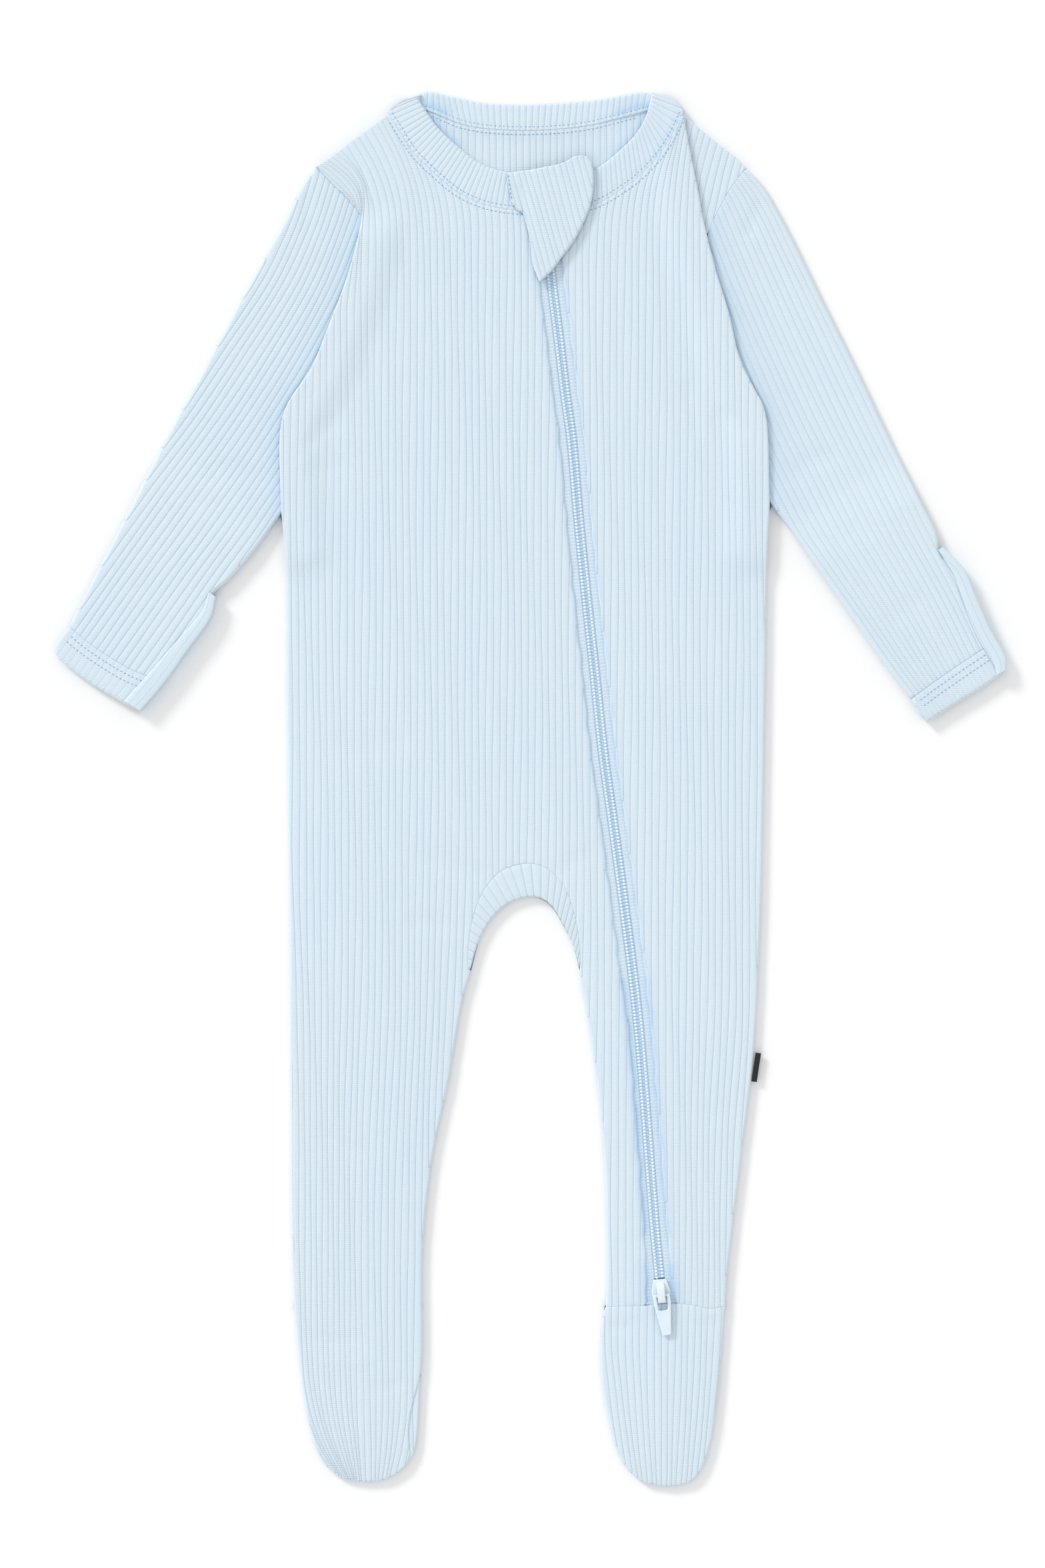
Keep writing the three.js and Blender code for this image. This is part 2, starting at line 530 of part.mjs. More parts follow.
// Sleeves, cuffs and mittens, one row of settings for each arm
const arms = {
  right: {
    side: 1,
    axis: [-0.545, -0.839],
    outer: run(at([[-89.8, 261], [-94.6, 255.4], [-98.6, 247.5], [-105.8, 233.5],
      [-121.5, 205.5], [-136.4, 177.5], [-151.8, 149.5], [-166, 121.5], [-180.6, 93.5],
      [-193.5, 68.3]]), 8),
    cuffSeam: run(at([[-193.5, 68.3], [-184.5, 60.8], [-168.6, 50.8], [-155.2, 45.3]])),
    inner: run(at([[-155.2, 45.3], [-146, 58.6], [-137.3, 71.4], [-134.6, 79], [-133.2, 82.2],
      [-127.1, 87.3], [-115.4, 100.5], [-105.2, 114.6]]), 5),
    armseam: rightArmseam,
    hem: run(at([[-199.6, 58.5], [-198.6, 55.6], [-194, 51.5], [-184.5, 44.5], [-173.6, 37.8],
      [-166, 33.8]])),
    cuffOuter: run(at([[-197.6, 63.4], [-199.2, 60.6]])),
    cuffInner: run(at([[-165, 34.2]])),
    ribs: [-10, 15],
    field: ribField([
      { rib: 0, path: at([[-193.5, 68.3], [-152.9, 124.3], [-130.5, 155.1], [-112.3, 183.1],
        [-95.5, 211.1], [-85.7, 233.5], [-80, 250.3], [-76, 264.3]]) },
      { rib: 15, path: at([[-171.5, 22], [-153.4, 44.5], [-143.4, 58.5], [-132.2, 75],
        [-121, 91.5], [-109.8, 106.5], [-102.5, 117.3], [-88.5, 138.3], [-77.3, 157.9],
        [-67.5, 174.7], [-59.1, 191.5], [-52.1, 208.3], [-46.5, 225.1], [-40, 245]]) },
    ]),
    flap: 42,
    mitten: table(['x', 'y', 'top'], [[-131.8, 80.6, 3.6], [-134, 71.8, 4.8], [-143.4, 58.5, 6.2],
      [-153.4, 44.5, 7.8], [-163.4, 32.7, 8.2]]),
  },
  left: {
    side: -1,
    axis: [0.53, -0.848],
    outer: run(at([[90.4, 260.6], [95.8, 255.4], [100.8, 247.5], [108.4, 233.5], [122.1, 205.5],
      [136.1, 177.5], [149.5, 149.5], [163.2, 121.5], [170.2, 107.5], [171.4, 101.2],
      [175, 95.4], [178.4, 91], [184.9, 79.5], [191.2, 66.5], [193.6, 61.4]]), 8),
    cuffSeam: run(at([[193.6, 61.4], [180, 52.4], [168.6, 44.5], [159.6, 37.8]])),
    inner: run(at([[159.6, 37.8], [149, 51.5], [139.2, 65.5], [129.4, 79.5], [119.6, 93.5],
      [110, 107.5], [104.7, 114.5], [101.2, 119]]), 8),
    armseam: leftArmseam,
    hem: run(at([[197.5, 48.4], [190, 42.9], [180, 36.8], [166.3, 28]])),
    cuffOuter: run(at([[196.4, 56.4], [198, 51.6]])),
    cuffInner: run(at([[163, 31.6]])),
    ribs: [-2, 21],
    field: ribField([
      { rib: 0, path: at([[50, 250], [55.7, 233.5], [65.5, 205.5], [76.2, 177.5], [86.5, 152.3],
        [97.2, 131.3], [110, 107.5], [119.6, 93.5], [129.4, 79.5], [139.2, 65.5], [149, 51.5],
        [159.6, 37.8], [170, 23]]) },
      { rib: 18, path: at([[91, 259.8], [100.8, 247.5], [115.1, 219.5], [129.1, 191.5],
        [143.1, 163.5], [157.1, 135.5], [170.2, 107.5], [183.1, 82.3], [193.8, 58.5],
        [204, 36]]) },
    ]),
    flap: 39,
    mitten: table(['x', 'y', 'top'], [[172.8, 101.6, 2.4], [177.9, 96.6, 4], [182, 91.7, 5],
      [186.6, 81, 6], [192.8, 67, 6.5], [199.2, 55.3, 6], [199.4, 50.4, 4.8]]),
  },
};
const sleeveRows = [276, 235, 190, 146, 126, 106, 84, 56, 24];
const mittenLift = mittenWall + seamGap;
const sleeveThick = wall + sleeveSlit + wall;

const climb = { from: -42, to: -24 }; // along a sleeve, from where its mitten starts
const ribsPerSpan = 4; // the hollow's plain faces are this much coarser than the ribs

// A sleeve lies on the ground and climbs onto its mitten near the end.
function sleeveUnder(arm) {
  const [dx, dy] = arm.axis;
  const start = arm.mitten[0];
  const share = (u) => THREE.MathUtils.clamp((u - climb.from) / (climb.to - climb.from), 0, 1);
  return (x, y) => mittenLift * share((x - start.x) * dx + (y - start.y) * dy);
}

// The hollow between the two layers of a sleeve or cuff, open at both ends.
function slit(arm, outline) {
  const low = sleeveUnder(arm);
  const wide = (span, y) => arm.field(arm.ribs[0] + span * ribsPerSpan, y);
  const under = (x, y) => low(x, y) + wall;
  const spans = Math.ceil((arm.ribs[1] - arm.ribs[0]) / ribsPerSpan);
  const sheet = { field: wide, ribs: [0, spans], rows: sleeveRows, under };
  return cutTo(ribbedSheet({ ...sheet, thick: sleeveSlit, raise: 0 }), outline);
}

function sleeve(arm) {
  const { side, outer, cuffSeam, inner, armseam, field, ribs } = arm;
  const outline = loop(outer, cuffSeam.slice(1), inner.slice(1), backwards(armseam).slice(1, -1));
  const cloth = { field, ribs, rows: sleeveRows, under: sleeveUnder(arm) };
  const body = cutTo(ribbedSheet({ ...cloth, thick: sleeveThick }), outline);
  const rim = side * sleeveRim;
  const [ax, ay] = arm.axis;
  const hollow = loop(
    beside(outer, rim).slice(2, -1),
    beside(outer, rim).slice(-1).map(([x, y]) => [x + 3 * ax, y + 3 * ay]),
    beside(inner, rim).slice(0, 1).map(([x, y]) => [x + 3 * ax, y + 3 * ay]),
    beside(inner, rim).slice(1, -2),
    backwards(between(armseam, 126, 247)).map(([x, y]) => [x + side * 3, y]),
  );
  return body.subtract(slit(arm, hollow));
}

function cuff(arm) {
  const { side, cuffSeam, hem, cuffOuter, cuffInner, field, ribs } = arm;
  const seam = beside(cuffSeam, -side * seamGap);
  const outline = loop(seam, cuffInner, backwards(hem), backwards(cuffOuter));
  const cloth = { field, ribs, rows: sleeveRows, under: sleeveUnder(arm), raise: ribHeight / 2 };
  const body = cutTo(ribbedSheet({ ...cloth, thick: sleeveThick }), outline);
  const [ax, ay] = arm.axis;
  const [from, to] = [cuffSeam[0], cuffSeam.at(-1)];
  const along = [to[0] - from[0], to[1] - from[1]];
  const length = Math.hypot(...along);
  const place = (share, far) => [
    from[0] + (along[0] * share) / length + ax * far,
    from[1] + (along[1] * share) / length + ay * far];
  const rim = sleeveRim * 1.6;
  const hollow = [place(rim, -5), place(length - rim, -5), place(length - rim, 20), place(rim, 20)];
  return body.subtract(slit(arm, hollow));
}

// The mitten lies under the sleeve's end and wraps one edge of it.
function mitten(arm) {
  const [nx, ny] = [arm.axis[1], -arm.axis[0]];
  const t = mittenWall;
  const high = mittenLift + sleeveThick + ribHeight + seamGap;
  const rings = arm.mitten.map(({ x, y, top }) => {
    const section = [[0.4, 0], [arm.flap, 0], [arm.flap, t], [t, t], [t, high], [top, high],
      [top, high + t], [0.4, high + t], [0, high + t - 0.4], [0, 0.4]];
    return section.map(([w, z]) => [x + nx * w, y + ny * w, z]);
  });
  return loft(rings);
}

// Neck
function neckBand() {
  const flat = () => frontLevel;
  const strip = { under: flat, thick: bandWall };
  const right = ribbedStrip({ ...strip, rows: bandRight, ribs: 25 });
  const left = ribbedStrip({ ...strip, rows: bandLeft, ribs: 21 });
  const back = ribbedStrip({ rows: bandBack, ribs: 28, under: () => 0, thick: bandWall });
  return back.add(right).add(left);
}

function zipGuard() {
  const outline = loop(
    run(at([[-10.3, 258.1], [-5, 258.8], [1.5, 259.7], [6.5, 260.8], [11.5, 261.7], [14.7, 262.8],
      [18.5, 265.2], [22.7, 265.4], [25, 264], [26.2, 260], [26.4, 252], [25.4, 245.4],
      [23.6, 240.4], [21.5, 235.8], [18.3, 229.7], [12.9, 222.5], [9.3, 217.5]]), 3),
    [[3.8, 212.4]],
    run(at([[0.8, 219.8], [-0.1, 228.6], [-1.7, 236.5], [-3.5, 241.8]]), 5),
    [[-5, 242.2], [-8, 245.8]],
  );
  const [pitch, slant, level] = [2.6, 0.27, 3.95];
  const slanted = (rib, y) => rib * pitch - (y - 240) * slant;
  const under = (x) => level + 0.4 * step(-3, 3, x);
  const cloth = { field: slanted, ribs: [-5, 16], rows: [275, 250, 225, 205], under };
  return cutTo(ribbedSheet({ ...cloth, thick: guardWall }), outline);
}

// Zip
function alongZip(section, top, foot) {
  const rows = [top, ...zipPath.map((p) => p.y).filter((y) => y < top - 4 && y > foot + 4), foot];
  const fine = rows.flatMap((y, i) => (i ? [(y + rows[i - 1]) / 2, y] : [y]));
  const rings = fine.map((y) => {
    const dx = zipX(y - 0.5) - zipX(y + 0.5);
    const length = Math.hypot(dx, 1);
    return section.map(([w, z]) => [zipX(y) + w / length, y + (w * dx) / length, z]);
  });
  return loft(rings);
}

function zipTape(side) {
  const z = frontLevel + 0.1;
  const [a, b] = [side * tapeInner, side * tapeOuter];
  const section = [[a, z], [b, z], [b, z + tapeThick], [a, z + tapeThick]];
  return alongZip(section, 257.4, ankleY + 0.6);
}

function zipChain() {
  const z = frontLevel + 0.1;
  const [edge, crest] = [z + 0.9, z + chainThick];
  const section = [[-chainHalf, z], [chainHalf, z], [chainHalf, edge], [1.2, crest],
    [0, edge], [-1.2, crest], [-chainHalf, edge]];
  return alongZip(section, upperSlider.foot - seamGap, sliderTop + seamGap);
}

// A slider's plate over the tapes and its core between them, from its top downwards.
function sliderBody(length, roof) {
  const half = sliderWide / 2;
  const outline = [[-2.7, 0], [2.7, 0], [half, -length / 2], [3.4, 1 - length], [2.6, -length],
    [-2.6, -length], [-3.4, 1 - length], [-half, -length / 2]];
  const core = [[-1.7, 0], [1.7, 0], [1.7, -length], [-1.7, -length]];
  return prism(outline, plateFloor, roof).add(prism(core, frontLevel + 0.1, plateFloor + 0.2));
}

function lowerSlider() {
  const roof = 4.3;
  const strapHalf = 1.6;
  const pivot = pivotY - sliderTop;
  const arch = [[-1, roof - 0.2], [-2.2, 5.7], [-4.2, 6.95], [-8.6, 6.95], [-9.8, 6.3],
    [-9.9, roof - 0.2], [pivot - 1.6, roof - 0.2], [pivot - 1.6, 6.2], [pivot + 1.6, 6.2],
    [pivot + 1.6, roof - 0.2]];
  const shape = new THREE.Shape(arch.map(([y, z]) => new THREE.Vector2(y, z)));
  const strap = new THREE.ExtrudeGeometry(shape, { depth: 2 * strapHalf, bevelEnabled: false });
  strap.translate(0, 0, -strapHalf).rotateY(Math.PI / 2).rotateX(Math.PI / 2);
  return sliderBody(sliderTop - sliderFoot, roof).add(solidOf(strap));
}

function hiddenSlider() {
  const tab = [[-2.4, -4], [2.4, -4], [1.6, -upperSlider.tab - 4], [-1.6, -upperSlider.tab - 4]];
  const body = sliderBody(upperSlider.top - upperSlider.foot, upperSlider.roof);
  return body.add(prism(tab, upperSlider.roof - 0.6, upperSlider.roof));
}

// The tab turns on the bar at its wide end, which passes under the slider's strap.
function pullTab() {
  const half = barThick / 2;
  const shape = new THREE.Shape([[-3.5, half], [3.5, half], [3.6, -3], [2, -16.2], [1.4, -16.9],
    [-1.4, -16.9], [-2, -16.2], [-3.6, -3]].map(([x, y]) => new THREE.Vector2(x, y)));
  const ring = [[-2.1, -half], [-2.1, -5.6], [-1.5, -6.3], [1.5, -6.3], [2.1, -5.6], [2.1, -half]];
  shape.holes.push(new THREE.Path(ring.map(([x, y]) => new THREE.Vector2(x, y))));
  const plate = new THREE.ExtrudeGeometry(shape, { depth: barThick, bevelEnabled: false });
  return plate.translate(0, 0, -half);
}

// The garment
const suit = new THREE.Group();
const root = new THREE.Group();
root.add(suit);

function add(name, geometry, kind, parent = suit) {
  const mesh = new THREE.Mesh(geometry, new THREE.MeshStandardMaterial(palette[kind]));
  mesh.name = name;
  parent.add(mesh);
  return mesh;
}

const cloth = {
  back_panel: backPanel(),
  front_right: rightFront(),
  front_left: leftFront(),
  crotch_gusset: gusset(),
  foot_upper_left: footUpper(),
  sole_right: rightSole(),
  sole_left: leftSole(),
  neck_band: neckBand(),
  zip_guard: zipGuard(),
  zip_tape_right: zipTape(-1),
  zip_tape_left: zipTape(1),
};
for (const [name, solid] of Object.entries(cloth)) add(name, geometryOf(solid), 'cloth');
for (const [name, arm] of Object.entries(arms)) {
  add(`sleeve_${name}`, geometryOf(sleeve(arm)), 'cloth');
  add(`cuff_${name}`, geometryOf(cuff(arm)), 'cloth');
  add(`mitten_${name}`, geometryOf(mitten(arm)), 'cloth');
}
add('zip_chain', geometryOf(zipChain()), 'plastic');

const slider = new THREE.Group();
slider.position.set(zipX(sliderTop), sliderTop, 0);
slider.rotation.z = sliderTurn;
suit.add(slider);
add('zip_slider', geometryOf(lowerSlider()), 'plastic', slider);
const tab = add('pull_tab', pullTab(), 'plastic', slider);
tab.position.set(0, pivotY - sliderTop, pivotZ);
tab.rotation.set(tabDroop, 0, tabTurn - sliderTurn);

const top = add('zip_slider_top', geometryOf(hiddenSlider()), 'plastic');
top.position.set(zipX(upperSlider.top), upperSlider.top, 0);
top.rotation.z = upperSlider.turn;

const label = add('side_label', new THREE.BoxGeometry(2.3, 12.2, 0.9), 'label');
label.position.set(94.7, -116.6, frontLevel + 0.4);
label.rotation.z = THREE.MathUtils.degToRad(-8.5);

// The origin is at the middle of the ground that the suit covers.
root.updateMatrixWorld(true);
const box = new THREE.Box3().setFromObject(root, true);
const middle = box.getCenter(new THREE.Vector3());
suit.position.set(-middle.x, -middle.y, -box.min.z);

export default root;
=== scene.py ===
# A footed baby sleepsuit in pale blue rib knit, laid flat on its back and seen from above.
# Tables and sizes are in millimetres; put() brings them into the frame, in metres.
import math
import bpy
import bmesh
import numpy as np
from mathutils import Matrix, Vector


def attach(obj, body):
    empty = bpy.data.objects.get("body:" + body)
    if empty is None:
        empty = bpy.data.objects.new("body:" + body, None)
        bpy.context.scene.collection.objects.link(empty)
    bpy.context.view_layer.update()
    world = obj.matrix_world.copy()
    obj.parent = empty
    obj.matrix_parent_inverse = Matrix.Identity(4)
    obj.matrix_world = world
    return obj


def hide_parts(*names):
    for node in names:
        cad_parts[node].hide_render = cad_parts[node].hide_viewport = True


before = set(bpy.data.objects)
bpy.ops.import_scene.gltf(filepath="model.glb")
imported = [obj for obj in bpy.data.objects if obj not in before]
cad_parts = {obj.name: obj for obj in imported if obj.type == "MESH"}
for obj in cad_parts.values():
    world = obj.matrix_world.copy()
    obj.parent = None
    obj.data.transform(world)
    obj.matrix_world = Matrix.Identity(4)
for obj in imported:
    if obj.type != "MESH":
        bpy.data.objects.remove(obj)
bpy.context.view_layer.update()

shift = (0.1, 0.0273)  # from the tables' zero to the frame's
suitBody = "suit"
tabBody = "pull_tab"

cloth = {
    "wall": 1.2,
    "seamGap": 0.3,
    "ribHeight": 0.19,
    "hemRib": 0.09,
    "fineRib": ((0.0, 0.035, 0.08, 0.5, 0.92, 0.965), (0.0, 0.65, 0.95, 1.0, 0.95, 0.65)),  # places and heights
    "plainRib": ((0.0, 0.14, 0.5, 0.86), (0.0, 0.9, 1.0, 0.9)),
    "stray": ((0.16, 1.9, 13.0), (0.34, 0.37, 27.0)),  # waves of a rib's line: width, change from rib to rib, length
    "rowStep": 2.0,
    "edgeRound": 0.8,  # at a fold or a side
    "seamRound": 0.35,
    # painted blue shade in the valleys of sewn seams
    "seamShade": 0.35,
}


# Curves and outlines

def smoothThrough(at, values):
    t, v = np.asarray(at, float), np.asarray(values, float)
    order = np.argsort(t)
    t, v = t[order], v[order]
    before, after = np.r_[0, np.arange(len(t) - 1)], np.r_[np.arange(1, len(t)), len(t) - 1]
    slope = (v[after] - v[before]) / (t[after] - t[before])

    def valueAt(x):
        x = np.asarray(x, float)
        i = np.clip(np.searchsorted(t, x) - 1, 0, len(t) - 2)
        span = t[i + 1] - t[i]
        s = (x - t[i]) / span
        c = np.clip(s, 0, 1)
        rise = c * c * (3 - 2 * c)
        value = v[i] * (1 - rise) + v[i + 1] * rise
        value = value + c * (1 - c) ** 2 * span * slope[i] + c * c * (c - 1) * span * slope[i + 1]
        return value + span * (np.minimum(s, 0) * slope[i] + np.maximum(s - 1, 0) * slope[i + 1])
    return valueAt


def run(points, spacing=3.0):
    points = np.asarray(points, float)
    if len(points) < 3:
        return points
    length = np.r_[0, np.cumsum(np.hypot(*np.diff(points, axis=0).T))]
    at = np.linspace(0, length[-1], int(math.ceil(length[-1] / spacing)) + 1)
    return np.c_[smoothThrough(length, points[:, 0])(at), smoothThrough(length, points[:, 1])(at)]


def beside(points, distance):
    ahead = np.vstack([points[1:], points[-1:]]) - np.vstack([points[:1], points[:-1]])
    ahead /= np.hypot(*ahead.T)[:, None]
    return points + distance * np.c_[-ahead[:, 1], ahead[:, 0]]


def between(points, low, high):
    kept = []
    for (px, py), (x, y) in zip(np.vstack([points[:1], points[:-1]]), points):
        kept += [(px + (x - px) * (cut - py) / (y - py), cut) for cut in (low, high) if (py - cut) * (y - cut) < 0]
        if low <= y <= high:
            kept.append((x, y))
    return np.array(kept)


def backwards(points):
    return points[::-1]


def loop(*runs):
    kept = []
    for point in np.vstack([np.atleast_2d(r) for r in runs if len(r)]):
        if not kept or np.hypot(*(point - kept[-1])) > 0.4:
            kept.append(point)
    while np.hypot(*(kept[0] - kept[-1])) < 0.4:
        kept.pop()
    return np.array(kept)


# Distance to a path, the point on it, and how many of its points lie before that
def nearest(path, places):
    best, where = np.full(len(places), np.inf), np.zeros(len(places))
    foot = np.zeros((len(places), 2))
    for k, (a, b) in enumerate(zip(path[:-1], path[1:])):
        along = b - a
        t = np.clip((places - a) @ along / max(along @ along, 1e-9), 0, 1)
        point = a + t[:, None] * along
        distance = np.hypot(*(places - point).T)
        closer = distance < best
        best[closer], foot[closer], where[closer] = distance[closer], point[closer], k + t[closer]
    return best, foot, where


def isInside(outline, places):
    x, y = places.T
    odd = np.zeros(len(places), bool)
    for (ax, ay), (bx, by) in zip(outline, np.roll(outline, -1, axis=0)):
        if ay != by:
            odd ^= ((ay > y) != (by > y)) & (x < (bx - ax) * (y - ay) / (by - ay) + ax)
    return odd


def ease(low, high, value):
    t = np.clip((value - low) / (high - low), 0, 1)
    return t * t * (3 - 2 * t)


def closed(points):
    return np.vstack([points, points[:1]])


def outwardNormals(outline):
    along = np.roll(outline, -1, axis=0) - np.roll(outline, 1, axis=0)
    along /= np.maximum(np.hypot(*along.T), 1e-9)[:, None]
    x, y = outline.T
    turn = np.sign(np.dot(x, np.roll(y, -1)) - np.dot(y, np.roll(x, -1)))
    return turn * np.c_[along[:, 1], -along[:, 0]]


# Soft ridges and troughs: (path, width, height), each fading out at its ends
def creased(x, y, creases):
    rise = np.zeros(len(x))
    for path, width, height in creases:
        distance, foot, where = nearest(path, np.c_[x, y])
        ends = np.minimum(where, len(path) - 1 - where) / (len(path) - 1)
        rise += height * np.exp(-(distance / width) ** 2) * ease(0, 0.3, ends)
    return rise


# How deep a painted blue shade lies in hollows, folds and seams: (path, reach, strength)
def shaded(x, y, strokes):
    shade = np.zeros(len(x))
    for path, reach, strength in strokes:
        shade = np.maximum(shade, strength * np.exp(-nearest(path, np.c_[x, y])[0] / reach))
    return shade


# Edges and seams that were measured on the garment

rightSide = run([(-104.4, 115.2), (-102.5, 93.5), (-102.2, 37.5), (-101.2, -43.7), (-100.6, -110),
                 (-100.2, -178), (-98.6, -223), (-96.3, -245.3), (-93, -266.6), (-87.4, -281.8),
                 (-79.5, -288.8), (-70.3, -290.6)])
rightToe = run([(-70.3, -290.6), (-61, -289.6), (-54, -285.4), (-49.6, -280), (-48.2, -275.5),
                (-47.3, -266.6), (-46.2, -246.4)], 2)
rightInner = run([(-46.2, -246.4), (-45.4, -234), (-45.4, -195), (-41.4, -155.7), (-34.4, -122),
                  (-28.6, -88.5), (-25, -76.2)])
crotch = run([(-25, -76.2), (-21.3, -62.7), (-16.2, -53.8), (-9.2, -47.4), (0.8, -45), (8, -48.3),
              (14.3, -58.2), (18.4, -67), (20.4, -75)], 2)
leftInner = run([(20.4, -75), (26.3, -111), (30.2, -144.5), (31.9, -180), (31.9, -211), (30.2, -223),
                 (29.4, -240), (31.1, -256.5), (35.6, -275.5), (40, -284.5), (48, -291.2),
                 (57.1, -292.6)])
leftSide = run([(57.1, -292.6), (67.5, -290.4), (73.1, -282.2), (77, -266.6), (79.5, -245.3),
                (82.9, -200.5), (88.2, -155.7), (93.5, -111), (96.2, -60), (97.6, -4.5), (98.8, 65.5),
                (99.4, 100), (100.3, 119.6)])
rightShoulder = run([(-89.8, 261), (-84.6, 264.3), (-72.8, 273.3), (-60.3, 282.4)])
leftShoulder = run([(64, 283), (75.3, 273.3), (86.8, 264.3), (90.4, 260.6)])
rightFold = run([(-70.6, 240), (-73.4, 227), (-77.8, 212.2), (-84.6, 194.6), (-92, 176.5),
                 (-102, 161.5), (-105, 150), (-105, 130), (-104.4, 115.2)])
leftFold = run([(64, 283), (67.4, 265), (70, 252.3), (72.2, 240), (77.3, 219), (83.2, 199.6),
                (87.6, 181), (93.2, 169), (97.9, 160), (99.6, 148), (100, 132), (100.3, 119.6)])
rightArmseam = run([(-89.8, 261), (-82, 252.8), (-76.2, 247), (-70.6, 240), (-67.4, 229), (-70, 212),
                    (-78, 191), (-88, 171), (-97.5, 154), (-99, 137), (-101, 123), (-105.2, 114.6)])
leftArmseam = run([(90.4, 260.6), (86, 255.1), (81.2, 247.5), (74.4, 233), (72.4, 219), (77.6, 203),
                   (82, 186), (89, 167), (94, 153), (95, 138), (97.4, 126), (101.2, 119)])
zipPath = np.array([(3.2, 258), (8.7, 214), (11.8, 190), (14.8, 165), (17.4, 146), (20.2, 114), (23.4, 82),
                    (27.3, 46), (30.6, 15), (34.5, -13), (39.2, -48), (43.3, -80), (46.4, -110), (52, -182),
                    (54.2, -205.3), (54.9, -216)])
zipX = smoothThrough(zipPath[:, 1], zipPath[:, 0])
zipLine = run(zipPath)
zipSeam = 5.05
ankleY = -216.4
ankleSeam = run([(31.7, -216.9), (40, -216.6), (48.5, -216.5), (52.5, -215.8), (60, -215.6), (68, -216.1),
                 (72.4, -217.3), (76.5, -217.6), (81.9, -216.8)], 1.5)
soleSeam = run([(-46.2, -246.4), (-48.2, -252.4), (-49.6, -257.6), (-51, -265), (-51.3, -273),
                (-50.6, -279), (-51.8, -283.4)], 2)
silhouette = np.vstack([rightSide, rightToe, rightInner, crotch, leftInner, leftSide])[::2]
freeEdges = [rightSide, rightToe, rightInner, crotch, leftInner, leftSide, rightFold, leftFold]


# Rib lines followed on the garment: (rib number, points along it)

def ribField(guides):
    ribs = np.array([rib for rib, path in guides], float)
    lines = [smoothThrough([p[1] for p in path], [p[0] for p in path]) for rib, path in guides]

    def xOf(rib, y):
        rib, y = np.broadcast_arrays(np.asarray(rib, float), np.asarray(y, float))
        across = np.stack([line(y) for line in lines])
        i = np.clip(np.searchsorted(ribs, rib) - 1, 0, len(ribs) - 2)
        a = np.take_along_axis(across, i[None], 0)[0]
        b = np.take_along_axis(across, i[None] + 1, 0)[0]
        return a + (b - a) * (rib - ribs[i]) / (ribs[i + 1] - ribs[i])
    return xOf


rightBodyRibs = ribField([
    (0, [(-112, 262), (-103, 256), (-94, 250), (-86, 244), (-84, 238), (-89, 225), (-96, 210),
         (-99.7, 190), (-99.7, -15.7), (-98, -88.5), (-97.4, -144.5), (-96.4, -200.5), (-95, -245),
         (-92, -262), (-87, -276), (-79, -290)]),
    (4, [(-95, 263), (-90, 259.5), (-82, 253), (-76.5, 248), (-73.2, 243), (-73.5, 238), (-78, 225),
         (-84, 212), (-88.1, 196), (-88.1, -15.7), (-87.3, -88.5), (-87.5, -144.5), (-87.3, -200.5),
         (-86.2, -245), (-84.4, -262), (-81, -276), (-75.6, -290)]),
    (7.5, [(-86, 263.5), (-79, 258.5), (-73.8, 253), (-71.4, 247), (-71.5, 240), (-73, 230),
           (-76, 215), (-77.9, 200), (-77.9, -15.7), (-77.8, -88.5), (-78.9, -144.5), (-79.3, -200.5),
           (-77.9, -256.5), (-72.7, -290)]),
    (10.2, [(-80.5, 266), (-74, 260), (-70.5, 254), (-69.6, 246), (-69.8, 240), (-70.1, 232),
            (-70, 200), (-70, -15.7), (-70.6, -88.5), (-72.2, -144.5), (-73.1, -200.5),
            (-72.4, -256.5), (-70.4, -290)]),
    (11.8, [(-88.2, 284.5), (-81.8, 275.5), (-76.2, 267.1), (-72, 260), (-68.9, 252.8), (-66.2, 243),
            (-65.5, 232), (-65.5, 200), (-65.5, -15.7), (-66, -88.5), (-67.6, -144.5),
            (-68.5, -200.5), (-68, -256.5), (-67, -290)]),
    (17.4, [(-65.5, 284.5), (-60.5, 275.5), (-56.3, 267.1), (-53.6, 260), (-51.5, 252.8), (-50, 243),
            (-49.4, 232), (-49.3, 200), (-49.3, -15.7), (-50.1, -88.5), (-52.4, -144.5),
            (-52.8, -200.5), (-53.4, -256.5), (-55.6, -276), (-59, -290)]),
    (23.2, [(-51.5, 284.5), (-46.5, 275.5), (-42, 267.1), (-38.6, 260), (-35.8, 252.8), (-33.5, 243),
            (-32.6, 232), (-32.5, 200), (-32.5, -15.7), (-34.2, -88.5), (-36.9, -144.5),
            (-37.4, -256.5), (-42, -290)]),
    (44.4, [(29.1, 284.5), (29.1, -88.5), (29.1, -290)]),
])
leftBodyRibs = ribField([
    (44.4, [(45, 284.5), (38, 267), (34, 258), (31, 247), (29.4, 236), (29.1, 200), (29.1, -290)]),
    (48.3, [(60, 284.5), (52, 270), (46, 260), (42.4, 250), (40.7, 236), (40.3, 200), (40.3, -290)]),
    (55, [(66, 284.5), (63.2, 267), (61.4, 252.8), (60.2, 236), (59.9, 200), (59.9, -290)]),
    (58.6, [(71, 284.5), (70.6, 260), (70.3, 240), (70.3, -88.5), (69.2, -144.5), (68.7, -216)]),
])
tuckRibs = ribField([(0, [(64, 284), (58, 262), (53, 240)]), (10, [(94, 284), (88, 262), (83, 240)])])
footRibs = ribField([
    (0, [(31.6, -214), (31.4, -234), (32.6, -247), (35, -267), (38, -285), (40, -294)]),
    (8.8, [(57.1, -214), (57.1, -294)]),
    (17, [(80.9, -214), (79.6, -234), (78.6, -247), (76.4, -267), (74, -285), (72.6, -294)]),
])


def straightRibs(rib, y):
    return np.asarray(rib, float) * 2.9 + 0 * np.asarray(y, float)


# Making meshes

def put(points):
    return (np.asarray(points, float) + np.array([shift[0], shift[1], 0])) / 1000


